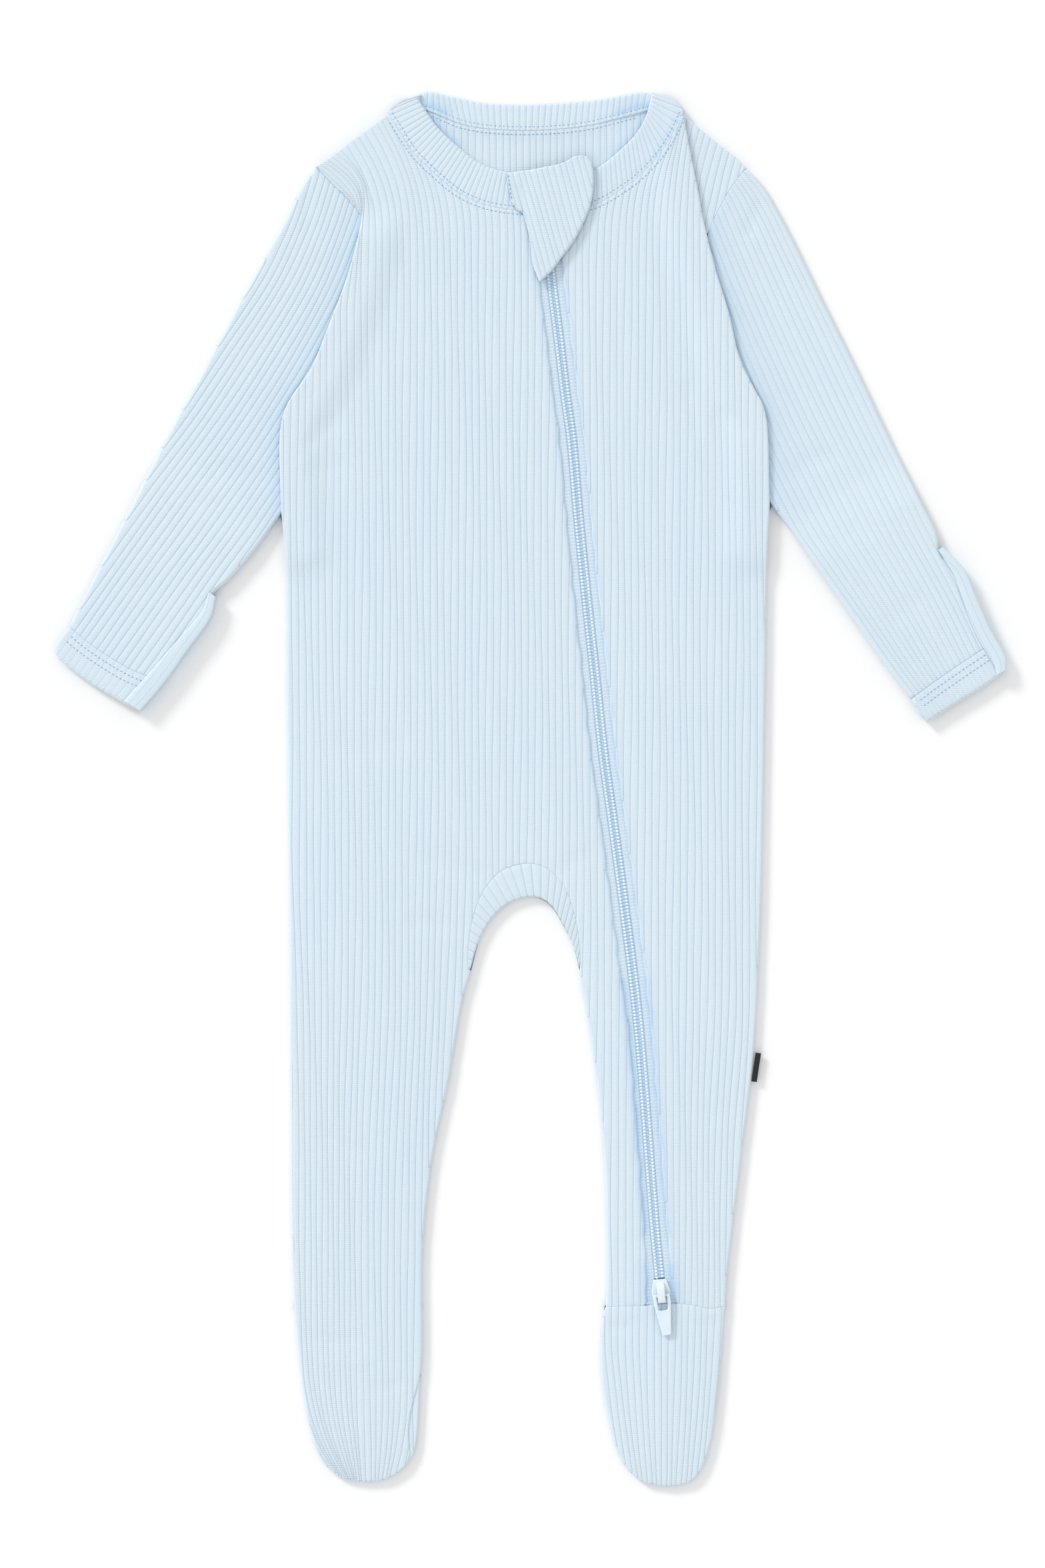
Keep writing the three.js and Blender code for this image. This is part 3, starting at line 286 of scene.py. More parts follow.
def unput(verts):
    return np.array([v.co for v in verts]) * 1000 - np.array([shift[0], shift[1], 0])


def placedAt(x, y, *turns):
    matrix = Matrix.Translation(put([(x, y, 0)])[0]) @ Matrix.Diagonal((0.001, 0.001, 0.001, 1))
    for move in turns:
        matrix = matrix @ move
    return matrix


def turned(degrees, axis="Z"):
    return Matrix.Rotation(math.radians(degrees), 4, axis)


def finishPiece(bm, name, material, nodes, body=suitBody):
    mesh = bpy.data.meshes.new(name)
    bm.to_mesh(mesh)
    bm.free()
    mesh.shade_smooth()
    mesh.materials.append(material)
    piece = bpy.data.objects.new(name, mesh)
    bpy.context.collection.objects.link(piece)
    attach(piece, body)
    if nodes:
        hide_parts(*nodes)
    return piece


def gridOf(columns, rows):
    bm = bmesh.new()
    bmesh.ops.create_grid(bm, x_segments=columns - 1, y_segments=rows - 1, size=0.5)
    at = np.array([v.co[:2] for v in bm.verts]) + 0.5
    return bm, np.rint(at[:, 0] * (columns - 1)).astype(int), np.rint(at[:, 1] * (rows - 1)).astype(int)


# knitPlaces hold the rib number, the place along the rib, and the painted shade mask
def layGrid(bm, places, heights, outward, knitPlaces):
    out = bm.verts.layers.float_vector.new("out")
    knit = bm.verts.layers.float_vector.new("knit")
    for v, place, (ox, oy), knitPlace in zip(bm.verts, put(np.c_[places, heights]), outward, knitPlaces):
        v.co, v[out], v[knit] = place, (ox, oy, 0), knitPlace


def newVerts(result):
    return [g for g in result["geom"] if isinstance(g, bmesh.types.BMVert)]


# Rolls an edge over and takes it down: v[out] points outwards and is as long as the edge is round
def roundTheRim(bm, bottom):
    out, knit = (bm.verts.layers.float_vector[name] for name in ("out", "knit"))
    for before, turn in ((0, 35), (35, 65), (65, 90)):
        grown = bmesh.ops.extrude_edge_only(bm, edges=[e for e in bm.edges if e.is_boundary])
        reach = math.sin(math.radians(turn)) - math.sin(math.radians(before))
        drop = math.cos(math.radians(before)) - math.cos(math.radians(turn))
        for v in newVerts(grown):
            radius = v[out].length
            v.co += v[out] * reach / 1000 - Vector((0, 0, radius * drop / 1000))
            across, along, shade = v[knit]
            # a sewn seam's valley gets painted blue shade, deeper as the rim turns down; a free edge's rim takes a
            # rib's middle, clear of the painted groove shade
            if radius < cloth["edgeRound"] * 0.6:
                v[knit] = (across, along, max(shade, cloth["seamShade"] * turn / 90))
            else:
                v[knit] = (math.floor(across) + 0.5, along, shade)
    rim = newVerts(bmesh.ops.extrude_edge_only(bm, edges=[e for e in bm.edges if e.is_boundary]))
    x, y, z = unput(rim).T
    for v, low in zip(rim, bottom(x, y)):
        v.co.z = min(v.co.z, low / 1000)


def edgeRadii(outline, free, radius):
    near = np.min([nearest(edge, outline)[0] for edge in free], axis=0) < 0.7
    return np.where(near, radius, cloth["seamRound"])


# The rib number at a place, from a guess
def ribAtPlace(field, rib, places):
    x, y = places.T
    for step in range(3):
        pitch = np.maximum(field(rib + 0.5, y) - field(rib - 0.5, y), 0.4)
        rib = rib + np.clip((x - field(rib, y)) / pitch, -2, 2)
    return rib


# How far along each line, from an inner place to an outer one, it meets the outline
def meets(outline, inner, outer):
    near, far = np.zeros(len(inner)), np.ones(len(inner))
    for step in range(12):
        middle = (near + far) / 2
        inside = isInside(outline, inner + (outer - inner) * middle[:, None])
        near, far = np.where(inside, middle, near), np.where(inside, far, middle)
    return far


# Pulls the grid's first places outside an outline onto it, along the grid's own lines, and keeps sharp corners
def trim(places, rib, ring, field, ribAt, rowAt):
    inside = isInside(ring, places.reshape(-1, 2)).reshape(rib.shape)
    laid = inside.copy()
    for way in ((0, 1), (0, -1), (1, 0), (-1, 0)):
        take = ~laid & np.roll(inside, way, (0, 1))
        inner, innerRib = np.roll(places, way, (0, 1))[take], np.roll(rib, way, (0, 1))[take]
        share = meets(ring, inner, places[take])
        places[take] = inner + (places[take] - inner) * share[:, None]
        rib[take] = innerRib + (rib[take] - innerRib) * share
        laid |= take
    loose = ~laid
    for way in ((1, 1), (1, -1), (-1, 1), (-1, -1)):
        take = loose & np.roll(inside, way, (0, 1))
        places[take] = np.roll(places, (0, way[1]), (0, 1))[take]
        rib[take] = np.roll(rib, (0, way[1]), (0, 1))[take]
    before, after = ring - np.roll(ring, 1, axis=0), np.roll(ring, -1, axis=0) - ring
    cosine = (before * after).sum(axis=1) / np.maximum(np.hypot(*before.T) * np.hypot(*after.T), 1e-9)
    for corner in ring[cosine < 0.85]:
        own = ribAtPlace(field, np.array([np.interp(corner[0], field(ribAt, corner[1]), ribAt)]), corner[None])[0]
        i, j = np.searchsorted(ribAt, own), np.searchsorted(rowAt, corner[1])
        cells = [(p, q) for p in (i - 1, i) for q in (j - 1, j) if not inside[p, q]]
        if cells:
            cell = max(cells, key=lambda c: (loose[c], -np.hypot(*(places[c] - corner))))
            places[cell], rib[cell] = corner, own
    return inside


# A sheet of rib knit inside an outline: its columns follow the rib lines
def ribbedSheet(outline, field, ribs, top, bottom, fine=True, rowStep=None, free=freeEdges, radius=None,
                strokes=(), ribHeight=cloth["ribHeight"]):
    columns, profile = cloth["fineRib"] if fine else cloth["plainRib"]
    rounding = outwardNormals(outline) * edgeRadii(outline, free, radius or cloth["edgeRound"])[:, None]
    ring, ringOut = outline - rounding, closed(rounding)

    def strayed(rib, y):
        return field(rib, y) + sum(w * np.sin(change * rib + y / length) for w, change, length in cloth["stray"])

    ribAt = np.array([r + c for r in range(*ribs) for c in columns] + [ribs[1]])
    step = rowStep or cloth["rowStep"]
    low, high = outline[:, 1].min() - step, outline[:, 1].max() + step
    rowAt = np.linspace(low, high, int((high - low) / step) + 1)
    rib, y = np.meshgrid(ribAt, rowAt, indexing="ij")
    places = np.stack([strayed(rib.ravel(), y.ravel()).reshape(rib.shape), y], axis=2)
    inside = trim(places, rib, ring, strayed, ribAt, rowAt)
    bm, i, j = gridOf(len(ribAt), len(rowAt))
    places, rib, kept = places[i, j], rib[i, j], inside[i, j]
    outward = np.zeros_like(places)
    foot, where = nearest(closed(ring), places[~kept])[1:]
    k = np.minimum(where.astype(int), len(ring) - 1)
    outward[~kept] = ringOut[k] + (ringOut[k + 1] - ringOut[k]) * (where - k)[:, None]
    relief = np.interp(rib % 1, [*columns, 1], [*profile, profile[0]])
    bm.verts.index_update()
    spare = [f for f in bm.faces if not any(kept[v.index] for v in f.verts)]
    heights = top(*places.T) + ribHeight * relief
    layGrid(bm, places, heights, outward, np.c_[rib, places[:, 1], shaded(*places.T, strokes)])
    bmesh.ops.delete(bm, geom=spare, context="FACES")
    bmesh.ops.remove_doubles(bm, verts=[v for v in bm.verts if v.is_boundary], dist=1e-7)
    roundTheRim(bm, bottom)
    return bm


# A strip between two edges, with short ribs across it; troughs are (distance from the outer edge, depth, width)
def ribbedStrip(rows, ribs, base, thick, across=7, radii=(0.7, 0.35), relief=None, troughs=(), strokes=()):
    relief = cloth["ribHeight"] if relief is None else relief
    columns, profile = cloth["fineRib"]
    ribAt = np.array([r + c for r in range(ribs) for c in columns] + [ribs])
    ribRelief = np.array(list(profile) * ribs + [0.0])
    rows = np.array(rows)
    reached = np.r_[0, np.cumsum(np.hypot(*np.diff((rows[:, :2] + rows[:, 2:]) / 2, axis=0).T))]
    at = radii[0] + ribAt / ribs * (reached[-1] - 2 * radii[0])
    t = smoothThrough(reached, range(len(rows)))(at)
    ix, iy, ox, oy = (smoothThrough(range(len(rows)), rows[:, k])(t) for k in range(4))
    inner, outer = np.c_[ix, iy], np.c_[ox, oy]
    width = np.hypot(*(outer - inner).T)
    side = (outer - inner) / np.maximum(width, 1e-6)[:, None]
    ahead = np.gradient((inner + outer) / 2, axis=0)
    ahead /= np.hypot(*ahead.T)[:, None]
    bm, i, j = gridOf(len(ribAt), across)
    share = j / (across - 1)
    near, far = (np.minimum(radius, width * 0.4)[i] for radius in radii)
    fromInner = near + share * (width[i] - near - far)
    places = inner[i] + side[i] * fromInner[:, None]
    endwise = (i == len(ribAt) - 1).astype(float) - (i == 0)
    sidewise = (j == across - 1).astype(float) - (j == 0)
    outward = side[i] * sidewise[:, None] + ahead[i] * endwise[:, None]
    outward *= np.where(j == across - 1, far, near)[:, None] / np.maximum(np.hypot(*outward.T), 1)[:, None]
    heights = base(*places.T) + thick + relief * ribRelief[i]
    for place, depth, reach in troughs:
        heights -= depth * np.exp(-((width[i] - fromInner - place) / reach) ** 2)
    layGrid(bm, places, heights, outward, np.c_[ribAt[i], share * width[i], shaded(*places.T, strokes)])
    roundTheRim(bm, base)
    bmesh.ops.recalc_face_normals(bm, faces=bm.faces)
    return bm


# Turns a sheet over, about a level, to face the ground
def turnOver(bm, geom, level):
    verts = [g for g in geom if isinstance(g, bmesh.types.BMVert)]
    x, y, z = unput(verts).T
    for v, height in zip(verts, 2 * level(x, y) - z):
        v.co.z = height / 1000
    bmesh.ops.reverse_faces(bm, faces=[g for g in geom if isinstance(g, bmesh.types.BMFace)])


# A flat tube: the sheet and its mirror image below it, open along one hidden edge
def flatTube(bm, middle, openEdge):
    x, y, z = unput(bm.verts).T
    near = nearest(openEdge, np.c_[x, y])[0] < 0.1
    bm.verts.index_update()
    wall = [f for f in bm.faces if all(near[v.index] for v in f.verts)]
    bmesh.ops.delete(bm, geom=wall, context="FACES")
    twin = bmesh.ops.duplicate(bm, geom=bm.verts[:] + bm.edges[:] + bm.faces[:])["geom"]
    turnOver(bm, twin, middle)
    bmesh.ops.remove_doubles(bm, verts=bm.verts, dist=2e-5)


def joinInto(bm, other):
    mesh = bpy.data.meshes.new("joined")
    other.to_mesh(mesh)
    other.free()
    bm.from_mesh(mesh)
    bpy.data.meshes.remove(mesh)
    return bm


# A row of small round shapes along a path: (pitch, length, width, height), in millimetres
def rowOfBeads(bm, path, heightAt, size, facets=(8, 5), start=0.0):
    pitch, *lengths = size
    bead = bmesh.new()
    bmesh.ops.create_uvsphere(bead, u_segments=facets[0], v_segments=facets[1], radius=0.5,
                              matrix=Matrix.Diagonal((*lengths, 1)))
    mesh = bpy.data.meshes.new("bead")
    bead.to_mesh(mesh)
    bead.free()
    steps = np.hypot(*np.diff(path, axis=0).T)
    at = np.r_[0, np.cumsum(steps)]
    for along in np.arange(start + pitch / 2, at[-1], pitch):
        k = min(np.searchsorted(at, along, side="right") - 1, len(steps) - 1)
        ahead = (path[k + 1] - path[k]) / steps[k]
        x, y = path[k] + ahead * (along - at[k])
        z = float(heightAt(np.array([x]), np.array([y]))[0])
        place = placedAt(x, y, Matrix.Translation((0, 0, z)), turned(math.degrees(math.atan2(ahead[1], ahead[0]))))
        mesh.transform(place)
        bm.from_mesh(mesh)
        mesh.transform(place.inverted())
    bpy.data.meshes.remove(mesh)


# A plate from its outline between two levels, with holes and rounded edges
def addPlate(bm, outline, low, high, rounding, matrix, hole=()):
    part = bmesh.new()
    for path in (outline, hole):
        corners = [part.verts.new((x, y, low)) for x, y in path]
        for a, b in zip(corners, corners[1:] + corners[:1]):
            part.edges.new((a, b))
    bmesh.ops.triangle_fill(part, use_beauty=True, use_dissolve=True, edges=part.edges)
    grown = bmesh.ops.extrude_face_region(part, geom=part.faces[:])
    bmesh.ops.translate(part, verts=newVerts(grown), vec=(0, 0, high - low))
    bmesh.ops.recalc_face_normals(part, faces=part.faces)
    sharp = [e for e in part.edges if len(e.link_faces) == 2 and e.calc_face_angle() > 0.35]
    bmesh.ops.bevel(part, geom=sharp, offset=rounding, segments=3, affect="EDGES", profile=0.5, material=-1,
                    clamp_overlap=True)
    level = [f for f in part.faces if abs(f.normal.z) > 0.99]
    bmesh.ops.inset_region(part, faces=level, thickness=rounding * 0.4, use_even_offset=True)
    bmesh.ops.transform(part, matrix=matrix, verts=part.verts)
    joinInto(bm, part)


# Materials

def newMaterial(name, color, roughness):
    material = bpy.data.materials.new(name)
    material.use_nodes = True
    shader = material.node_tree.nodes["Principled BSDF"]
    shader.inputs["Base Color"].default_value = (*color, 1)
    shader.inputs["Roughness"].default_value = roughness
    return material, material.node_tree, shader


def mathNode(tree, operation, a, b=None):
    node = tree.nodes.new("ShaderNodeMath")
    node.operation = operation
    for socket, value in zip(node.inputs, (a, b)):
        if isinstance(value, bpy.types.NodeSocket):
            tree.links.new(value, socket)
        elif value is not None:
            socket.default_value = value
    return node.outputs[0]


def colorMix(tree, factor, a, b, kind="MIX"):
    mix = tree.nodes.new("ShaderNodeMix")
    mix.data_type, mix.blend_type = "RGBA", kind
    for name, value in (("Factor", factor), ("A", a), ("B", b)):
        if isinstance(value, bpy.types.NodeSocket):
            tree.links.new(value, mix.inputs[name])
        else:
            mix.inputs[name].default_value = value
    return mix.outputs["Result"]


def noiseNode(tree, place, scale, detail=3.0):
    noise = tree.nodes.new("ShaderNodeTexNoise")
    noise.inputs["Detail"].default_value = detail
    tree.links.new(place, noise.inputs["Vector"])
    if isinstance(scale, bpy.types.NodeSocket):
        tree.links.new(scale, noise.inputs["Scale"])
    else:
        noise.inputs["Scale"].default_value = scale
    return noise.outputs["Fac"]


# A value that spreads from its middle: 1 + strength * (value - 0.5)
def around(tree, value, strength):
    return mathNode(tree, "ADD", mathNode(tree, "MULTIPLY", value, strength), 1 - strength / 2)


def newGroup(name, inputs, outputs):
    tree = bpy.data.node_groups.new(name, "ShaderNodeTree")
    for way, sockets in (("INPUT", inputs), ("OUTPUT", outputs)):
        for label, kind in sockets:
            tree.interface.new_socket(label, in_out=way, socket_type="NodeSocket" + kind)
    return tree, tree.nodes.new("NodeGroupInput").outputs, tree.nodes.new("NodeGroupOutput").inputs


# Rib knit: thin grooves between the ribs with painted shade in them, wales along them, courses, fuzz, and a painted
# blue shade in hollows and folds
def knitGroup():
    tree, given, made = newGroup(
        "ribKnit",
        (("Place", "Vector"), ("Cloth", "Color"), ("Groove", "Color"), ("Shade", "Color"),
         ("Groove Width", "Float"), ("Wales", "Float"), ("Fuzz Scale", "Float")),
        (("Color", "Color"), ("Height", "Float")))
    split = tree.nodes.new("ShaderNodeSeparateXYZ")
    tree.links.new(given["Place"], split.inputs[0])
    across, along, hollow = (split.outputs[name] for name in "XYZ")
    place = tree.nodes.new("ShaderNodeTexCoord").outputs["Object"]
    fromCrest = mathNode(tree, "ABSOLUTE", mathNode(tree, "SUBTRACT", mathNode(tree, "FRACT", across), 0.5))
    groove = tree.nodes.new("ShaderNodeMapRange")
    groove.interpolation_type = "SMOOTHSTEP"
    tree.links.new(fromCrest, groove.inputs["Value"])
    tree.links.new(mathNode(tree, "SUBTRACT", 0.5, given["Groove Width"]), groove.inputs["From Min"])
    groove.inputs["From Max"].default_value = 0.5
    own = mathNode(tree, "SINE", mathNode(tree, "MULTIPLY", mathNode(tree, "ROUND", across), 7.3))
    patchy = mathNode(tree, "ADD", around(tree, noiseNode(tree, place, 45.0), 1.6),
                      mathNode(tree, "MULTIPLY", own, 0.18))
    depth = mathNode(tree, "MULTIPLY", groove.outputs["Result"], patchy)
    depth.node.use_clamp = True
    fuzz = noiseNode(tree, place, given["Fuzz Scale"])
    wale = mathNode(tree, "COSINE", mathNode(tree, "MULTIPLY", across, mathNode(
        tree, "MULTIPLY", given["Wales"], 2 * math.pi)))
    course = mathNode(tree, "SINE", mathNode(tree, "ADD", mathNode(tree, "MULTIPLY", along, 2 * math.pi / 0.9),
                                             mathNode(tree, "MULTIPLY", wale, 1.2)))
    tone = mathNode(tree, "ADD", around(tree, fuzz, 0.09), mathNode(tree, "MULTIPLY", wale, 0.012))
    grey = tree.nodes.new("ShaderNodeCombineColor")
    for socket in grey.inputs:
        tree.links.new(tone, socket)
    drift = tree.nodes.new("ShaderNodeCombineColor")
    slow = noiseNode(tree, place, 14.0, 1.0)
    for socket, strength in zip(drift.inputs, (0.05, 0.02, -0.03)):
        tree.links.new(around(tree, slow, strength), socket)
    # painted shade: the grooves take the darker groove colour, then the painted shade mask takes the shade colour
    color = colorMix(tree, depth, given["Cloth"], given["Groove"])
    color = colorMix(tree, hollow, color, given["Shade"])
    color = colorMix(tree, 1.0, color, grey.outputs[0], "MULTIPLY")
    tree.links.new(colorMix(tree, 1.0, color, drift.outputs[0], "MULTIPLY"), made["Color"])
    fine = mathNode(tree, "ADD", mathNode(tree, "MULTIPLY", wale, 0.35), mathNode(tree, "MULTIPLY", course, 0.25))
    tree.links.new(mathNode(tree, "ADD", fine, fuzz), made["Height"])
    return tree


# Smooth moulded or woven finishes: a fine grain, and a slow drift of tone
def grainGroup():
    tree, given, made = newGroup(
        "fineGrain", (("Tone", "Color"), ("Scale", "Float"), ("Spread", "Float")),
        (("Color", "Color"), ("Roughness", "Float"), ("Height", "Float")))
    place = tree.nodes.new("ShaderNodeTexCoord").outputs["Object"]
    grain, slow = noiseNode(tree, place, given["Scale"]), noiseNode(tree, place, 150.0, 1.0)
    spread = mathNode(tree, "MULTIPLY", mathNode(tree, "SUBTRACT", mathNode(tree, "ADD", grain, slow), 1.0),
                      given["Spread"])
    tone = mathNode(tree, "ADD", spread, 1.0)
    grey = tree.nodes.new("ShaderNodeCombineColor")
    for socket in grey.inputs:
        tree.links.new(tone, socket)
    tree.links.new(colorMix(tree, 1.0, given["Tone"], grey.outputs[0], "MULTIPLY"), made["Color"])
    tree.links.new(mathNode(tree, "ADD", mathNode(tree, "MULTIPLY", grain, 0.2), 0.35), made["Roughness"])
    tree.links.new(grain, made["Height"])
    return tree


ribKnit = knitGroup()
fineGrain = grainGroup()


def addBump(tree, shader, height, distance, strength):
    bump = tree.nodes.new("ShaderNodeBump")
    bump.inputs["Distance"].default_value = distance
    bump.inputs["Strength"].default_value = strength
    tree.links.new(height, bump.inputs["Height"])
    tree.links.new(bump.outputs["Normal"], shader.inputs["Normal"])


def placeGroup(tree, group, values):
    node = tree.nodes.new("ShaderNodeGroup")
    node.node_tree = group
    for name, value in values.items():
        node.inputs[name].default_value = value
    return node


def knitMaterial(name, settings):
    material, tree, shader = newMaterial(name, settings["cloth"][:3], 0.9)
    shader.inputs["Sheen Weight"].default_value = 0.25
    shader.inputs["Sheen Roughness"].default_value = 0.6
    shader.inputs["Specular IOR Level"].default_value = 0.25
    group = placeGroup(tree, ribKnit, {
        "Cloth": settings["cloth"], "Groove": settings["groove"], "Shade": settings["shade"],
        "Groove Width": settings["grooveWidth"], "Wales": settings["wales"], "Fuzz Scale": settings["fuzzScale"]})
    place = tree.nodes.new("ShaderNodeAttribute")
    place.attribute_name = "knit"
    tree.links.new(place.outputs["Vector"], group.inputs["Place"])
    tree.links.new(group.outputs["Color"], shader.inputs["Base Color"])
    addBump(tree, shader, group.outputs["Height"], settings["bump"], 0.7)
    return material


def grainMaterial(name, tone, scale, spread, bump, roughness=None):
    material, tree, shader = newMaterial(name, tone, roughness or 0.5)
    group = placeGroup(tree, fineGrain, {"Tone": (*tone, 1), "Scale": scale, "Spread": spread})
    tree.links.new(group.outputs["Color"], shader.inputs["Base Color"])
    if roughness is None:
        tree.links.new(group.outputs["Roughness"], shader.inputs["Roughness"])
    addBump(tree, shader, group.outputs["Height"], bump, 0.6)
    return material


# groove and shade are painted shade colours: darker blue in the rib grooves, and in hollows, folds and seams
knit = {"cloth": (0.645, 0.748, 0.828, 1), "groove": (0.40, 0.60, 0.77, 1), "shade": (0.28, 0.50, 0.76, 1),
        "grooveWidth": 0.055, "wales": 5.0, "fuzzScale": 1800.0, "bump": 0.00012}
knitBlue = knitMaterial("knitBlue", knit)
bandKnit = knitMaterial("bandKnit", {**knit, "groove": (0.47, 0.64, 0.78, 1), "grooveWidth": 0.12, "wales": 3.0})
hemKnit = knitMaterial("hemKnit", {**knit, "groove": (0.55, 0.69, 0.80, 1)})
tapeWeave = knitMaterial("tapeWeave", {**knit, "groove": (0.55, 0.69, 0.81, 1), "grooveWidth": 0.2, "wales": 2.0})
coilBlue = grainMaterial("coilBlue", (0.74, 0.83, 0.90), 2500.0, 0.10, 0.00003)
coreBlue = knitMaterial("coreBlue", {**knit, "cloth": (0.48, 0.65, 0.82, 1), "groove": (0.34, 0.55, 0.80, 1),
                                     "grooveWidth": 0.25})
sliderPaint = grainMaterial("sliderPaint", (0.70, 0.80, 0.88), 900.0, 0.08, 0.00001)
# stitch dots: the blue thread, darkened for the painted shade of its stitch holes
threadAndHoleShade = grainMaterial("threadAndHoleShade", (0.26, 0.45, 0.66), 4000.0, 0.25, 0.00004, 0.85)
labelBlack = grainMaterial("labelBlack", (0.012, 0.013, 0.015), 3000.0, 0.9, 0.00006, 0.85)
print("scene: materials ready")


# Front and back of the body

body = {"level": 1.5, "loft": 0.7, "loftReach": 14, "foldLift": 1.65, "foldFlat": 9, "foldSlope": 22,
        "liftEnds": (86, 100), "seamEnds": (228, 246), "zipHold": 0.7, "zipReach": 8, "rimDepth": 0.35}


# Soft folds of the front and of the back: (path, width, height)
frontCreases = [
    (run([(64.7, 174), (67.2, 161), (71, 146)]), 2.6, -0.4), (run([(69.5, 171), (72.4, 160), (76.5, 149)]), 2.8, 0.25),
    (run([(-97, 139), (-88, 150), (-76, 157)]), 3.2, -0.35), (run([(-99, 128), (-86, 135), (-70, 136)]), 3.8, -0.22),
    (run([(93, 147), (83, 156), (74, 158)]), 3.0, -0.3), (run([(-14, -42), (-30, -33), (-52, -26)]), 4.2, -0.3),
    (run([(-24, -62), (-38, -56), (-58, -57)]), 3.6, -0.25), (run([(9, -38), (18, -30), (29, -27)]), 3.4, -0.28),
    (run([(22, -84), (30, -92), (36, -94)]), 2.6, -0.25), (run([(-93, -141), (-76, -150), (-58, -148)]), 4.5, -0.22),
    (run([(-96, -226), (-84, -231), (-66, -229)]), 3.0, -0.28), (run([(-92, -238), (-78, -241), (-60, -236)]), 2.6, 0.2),
    (run([(60, -128), (72, -136), (88, -134)]), 4.0, -0.22), (run([(-90, 22), (-70, 17), (-44, 24)]), 5.5, -0.2),
    (run([(31.8, -219.4), (40, -220), (50, -219.2)]), 1.5, 0.3), (run([(32, -223), (36.5, -225.6), (43, -226.4)]), 1.7, -0.42),
    (run([(60, -219.2), (70, -220.4), (79, -219.6)]), 1.6, 0.22), (run([(70, -223), (76, -224.6), (81, -223.6)]), 1.6, -0.25),
    (run([(30.5, -277.5), (33.6, -281), (39.5, -283)]), 1.6, -0.4), (run([(-52, -247), (-60, -251), (-70, -250)]), 2.4, -0.25),
]
backCreases = [
    (run([(-64, -34), (-36, -48), (-6, -50)]), 5, -0.32), (run([(8, -52), (38, -48), (66, -33)]), 5.4, -0.3),
    (run([(-92, -150), (-70, -161), (-48, -157)]), 4.2, -0.3), (run([(38, -148), (60, -160), (86, -151)]), 4.4, -0.28),
    (run([(-97, 148), (-78, 163), (-64, 186)]), 4.8, -0.3), (run([(95, 150), (78, 166), (68, 192)]), 5.2, -0.3),
    (run([(-72, 42), (-34, 35), (10, 43)]), 6.0, -0.22), (run([(-40, 214), (0, 207), (38, 216)]), 6.5, -0.24),
]


def frontUnder(x, y):
    places = np.c_[x, y]
    loftShare = 1 - np.exp(-nearest(silhouette, places)[0] / body["loftReach"])
    nearZip = np.exp(-nearest(zipLine, places)[0] / body["zipReach"])
    folds = (np.vstack([rightFold, [(-102.6, 100)]]), np.vstack([leftFold, [(99.4, 100)]]))
    strips = [1 - ease(body["foldFlat"], body["foldSlope"], nearest(f, places)[0]) for f in folds]
    strips[0] *= 1 - ease(*body["seamEnds"], y)
    lift = ease(*body["liftEnds"], y) * np.maximum(*strips)
    under = body["level"] + body["loft"] * loftShare * (1 - body["zipHold"] * nearZip) + body["foldLift"] * lift
    return under + creased(x, y, frontCreases)


def frontTop(x, y):
    return frontUnder(x, y) + cloth["wall"]


def frontLow(x, y):
    return frontUnder(x, y) - body["rimDepth"]


bandRight = [(-45.4, 291.2, -51.6, 290.1), (-46.6, 290.4, -56.6, 286.6), (-46.6, 288.8, -59.5, 283.2),
             (-43.6, 284.2, -56, 277.6), (-38.6, 277.3, -48.8, 266.6), (-31.2, 270.2, -40, 257.9),
             (-23, 263.6, -30, 249.8), (-15, 260, -19, 245), (-7, 258.4, -8, 242.9), (-1.8, 258, -0.2, 242.4)]
bandLeft = [(9, 257.6, 10.4, 242.8), (18, 258.2, 18.6, 243.2), (27, 260.2, 27.4, 245.2),
            (35, 265.8, 36.4, 250.2), (43.5, 274, 46.4, 257.6), (48.2, 282, 56.3, 268.8),
            (50.3, 289, 63.9, 283), (51, 292.4, 60.6, 289.6)]
bandBack = [(-53.5, 288.4, -50, 284.4), (-43.7, 292.5, -44, 285), (-32.5, 290.5, -30, 279.4),
            (-20, 288, -19, 277.2), (-5, 287.3, -5, 276.4), (11, 287.8, 10, 276.8),
            (25, 288.9, 24, 278.4), (36, 290.6, 35, 281), (46, 292.3, 45, 283.6), (56, 291.4, 52, 285.6)]
gussetRows = [(-25.2, -75.4, -26.4, -75.6), (-22.6, -66.2, -26, -64.4), (-19.4, -58.8, -24.4, -55),
              (-15.4, -53, -21.4, -45.6), (-10.6, -48.6, -16.8, -38.3), (-5.4, -46, -11, -33.4),
              (0.4, -45, -1.6, -31), (5.4, -46.2, 5.9, -32.6), (9.4, -49.6, 11, -36.6),
              (12.6, -54.8, 15.4, -43.2), (16, -61.4, 18.6, -52.6), (18.8, -68.2, 20.4, -63),
              (20.5, -74.8, 21, -73)]
bandSeamRight = run([(r[2], r[3]) for r in bandRight[2:]])
bandSeamLeft = run([(r[2], r[3]) for r in bandLeft[:7]])
bandSeamBack = run([(r[2], r[3]) for r in bandBack])
gussetSeam = run([(r[2], r[3]) for r in gussetRows], 2)
gap = -0.08  # sewn edges press into each other
slider = {"y": -205.3, "turn": 5.0, "length": 10.1, "bulge": 0.75, "bulgeReach": 6.0}
pucker = {"swell": 0.24, "wave": 1.9, "otherWave": 3.1, "pull": 0.9, "pullEnds": (-198, -184, -104, -70)}


# A panel's edge beside the zip: puckered by its seam, and pushed out by the slider
def zipEdge(side):
    line = run(zipPath, 1.2)
    y = line[:, 1]
    distance = zipSeam + pucker["swell"] * (np.sin(y / pucker["wave"]) + 0.7 * np.sin(y / pucker["otherWave"] + side))
    distance += slider["bulge"] * np.exp(-((y - slider["y"] + 6) / slider["bulgeReach"]) ** 2)
    if side < 0:
        distance -= pucker["pull"] * (ease(*pucker["pullEnds"][:2], y) - ease(*pucker["pullEnds"][2:], y))
    return beside(line, side * distance[:, None])


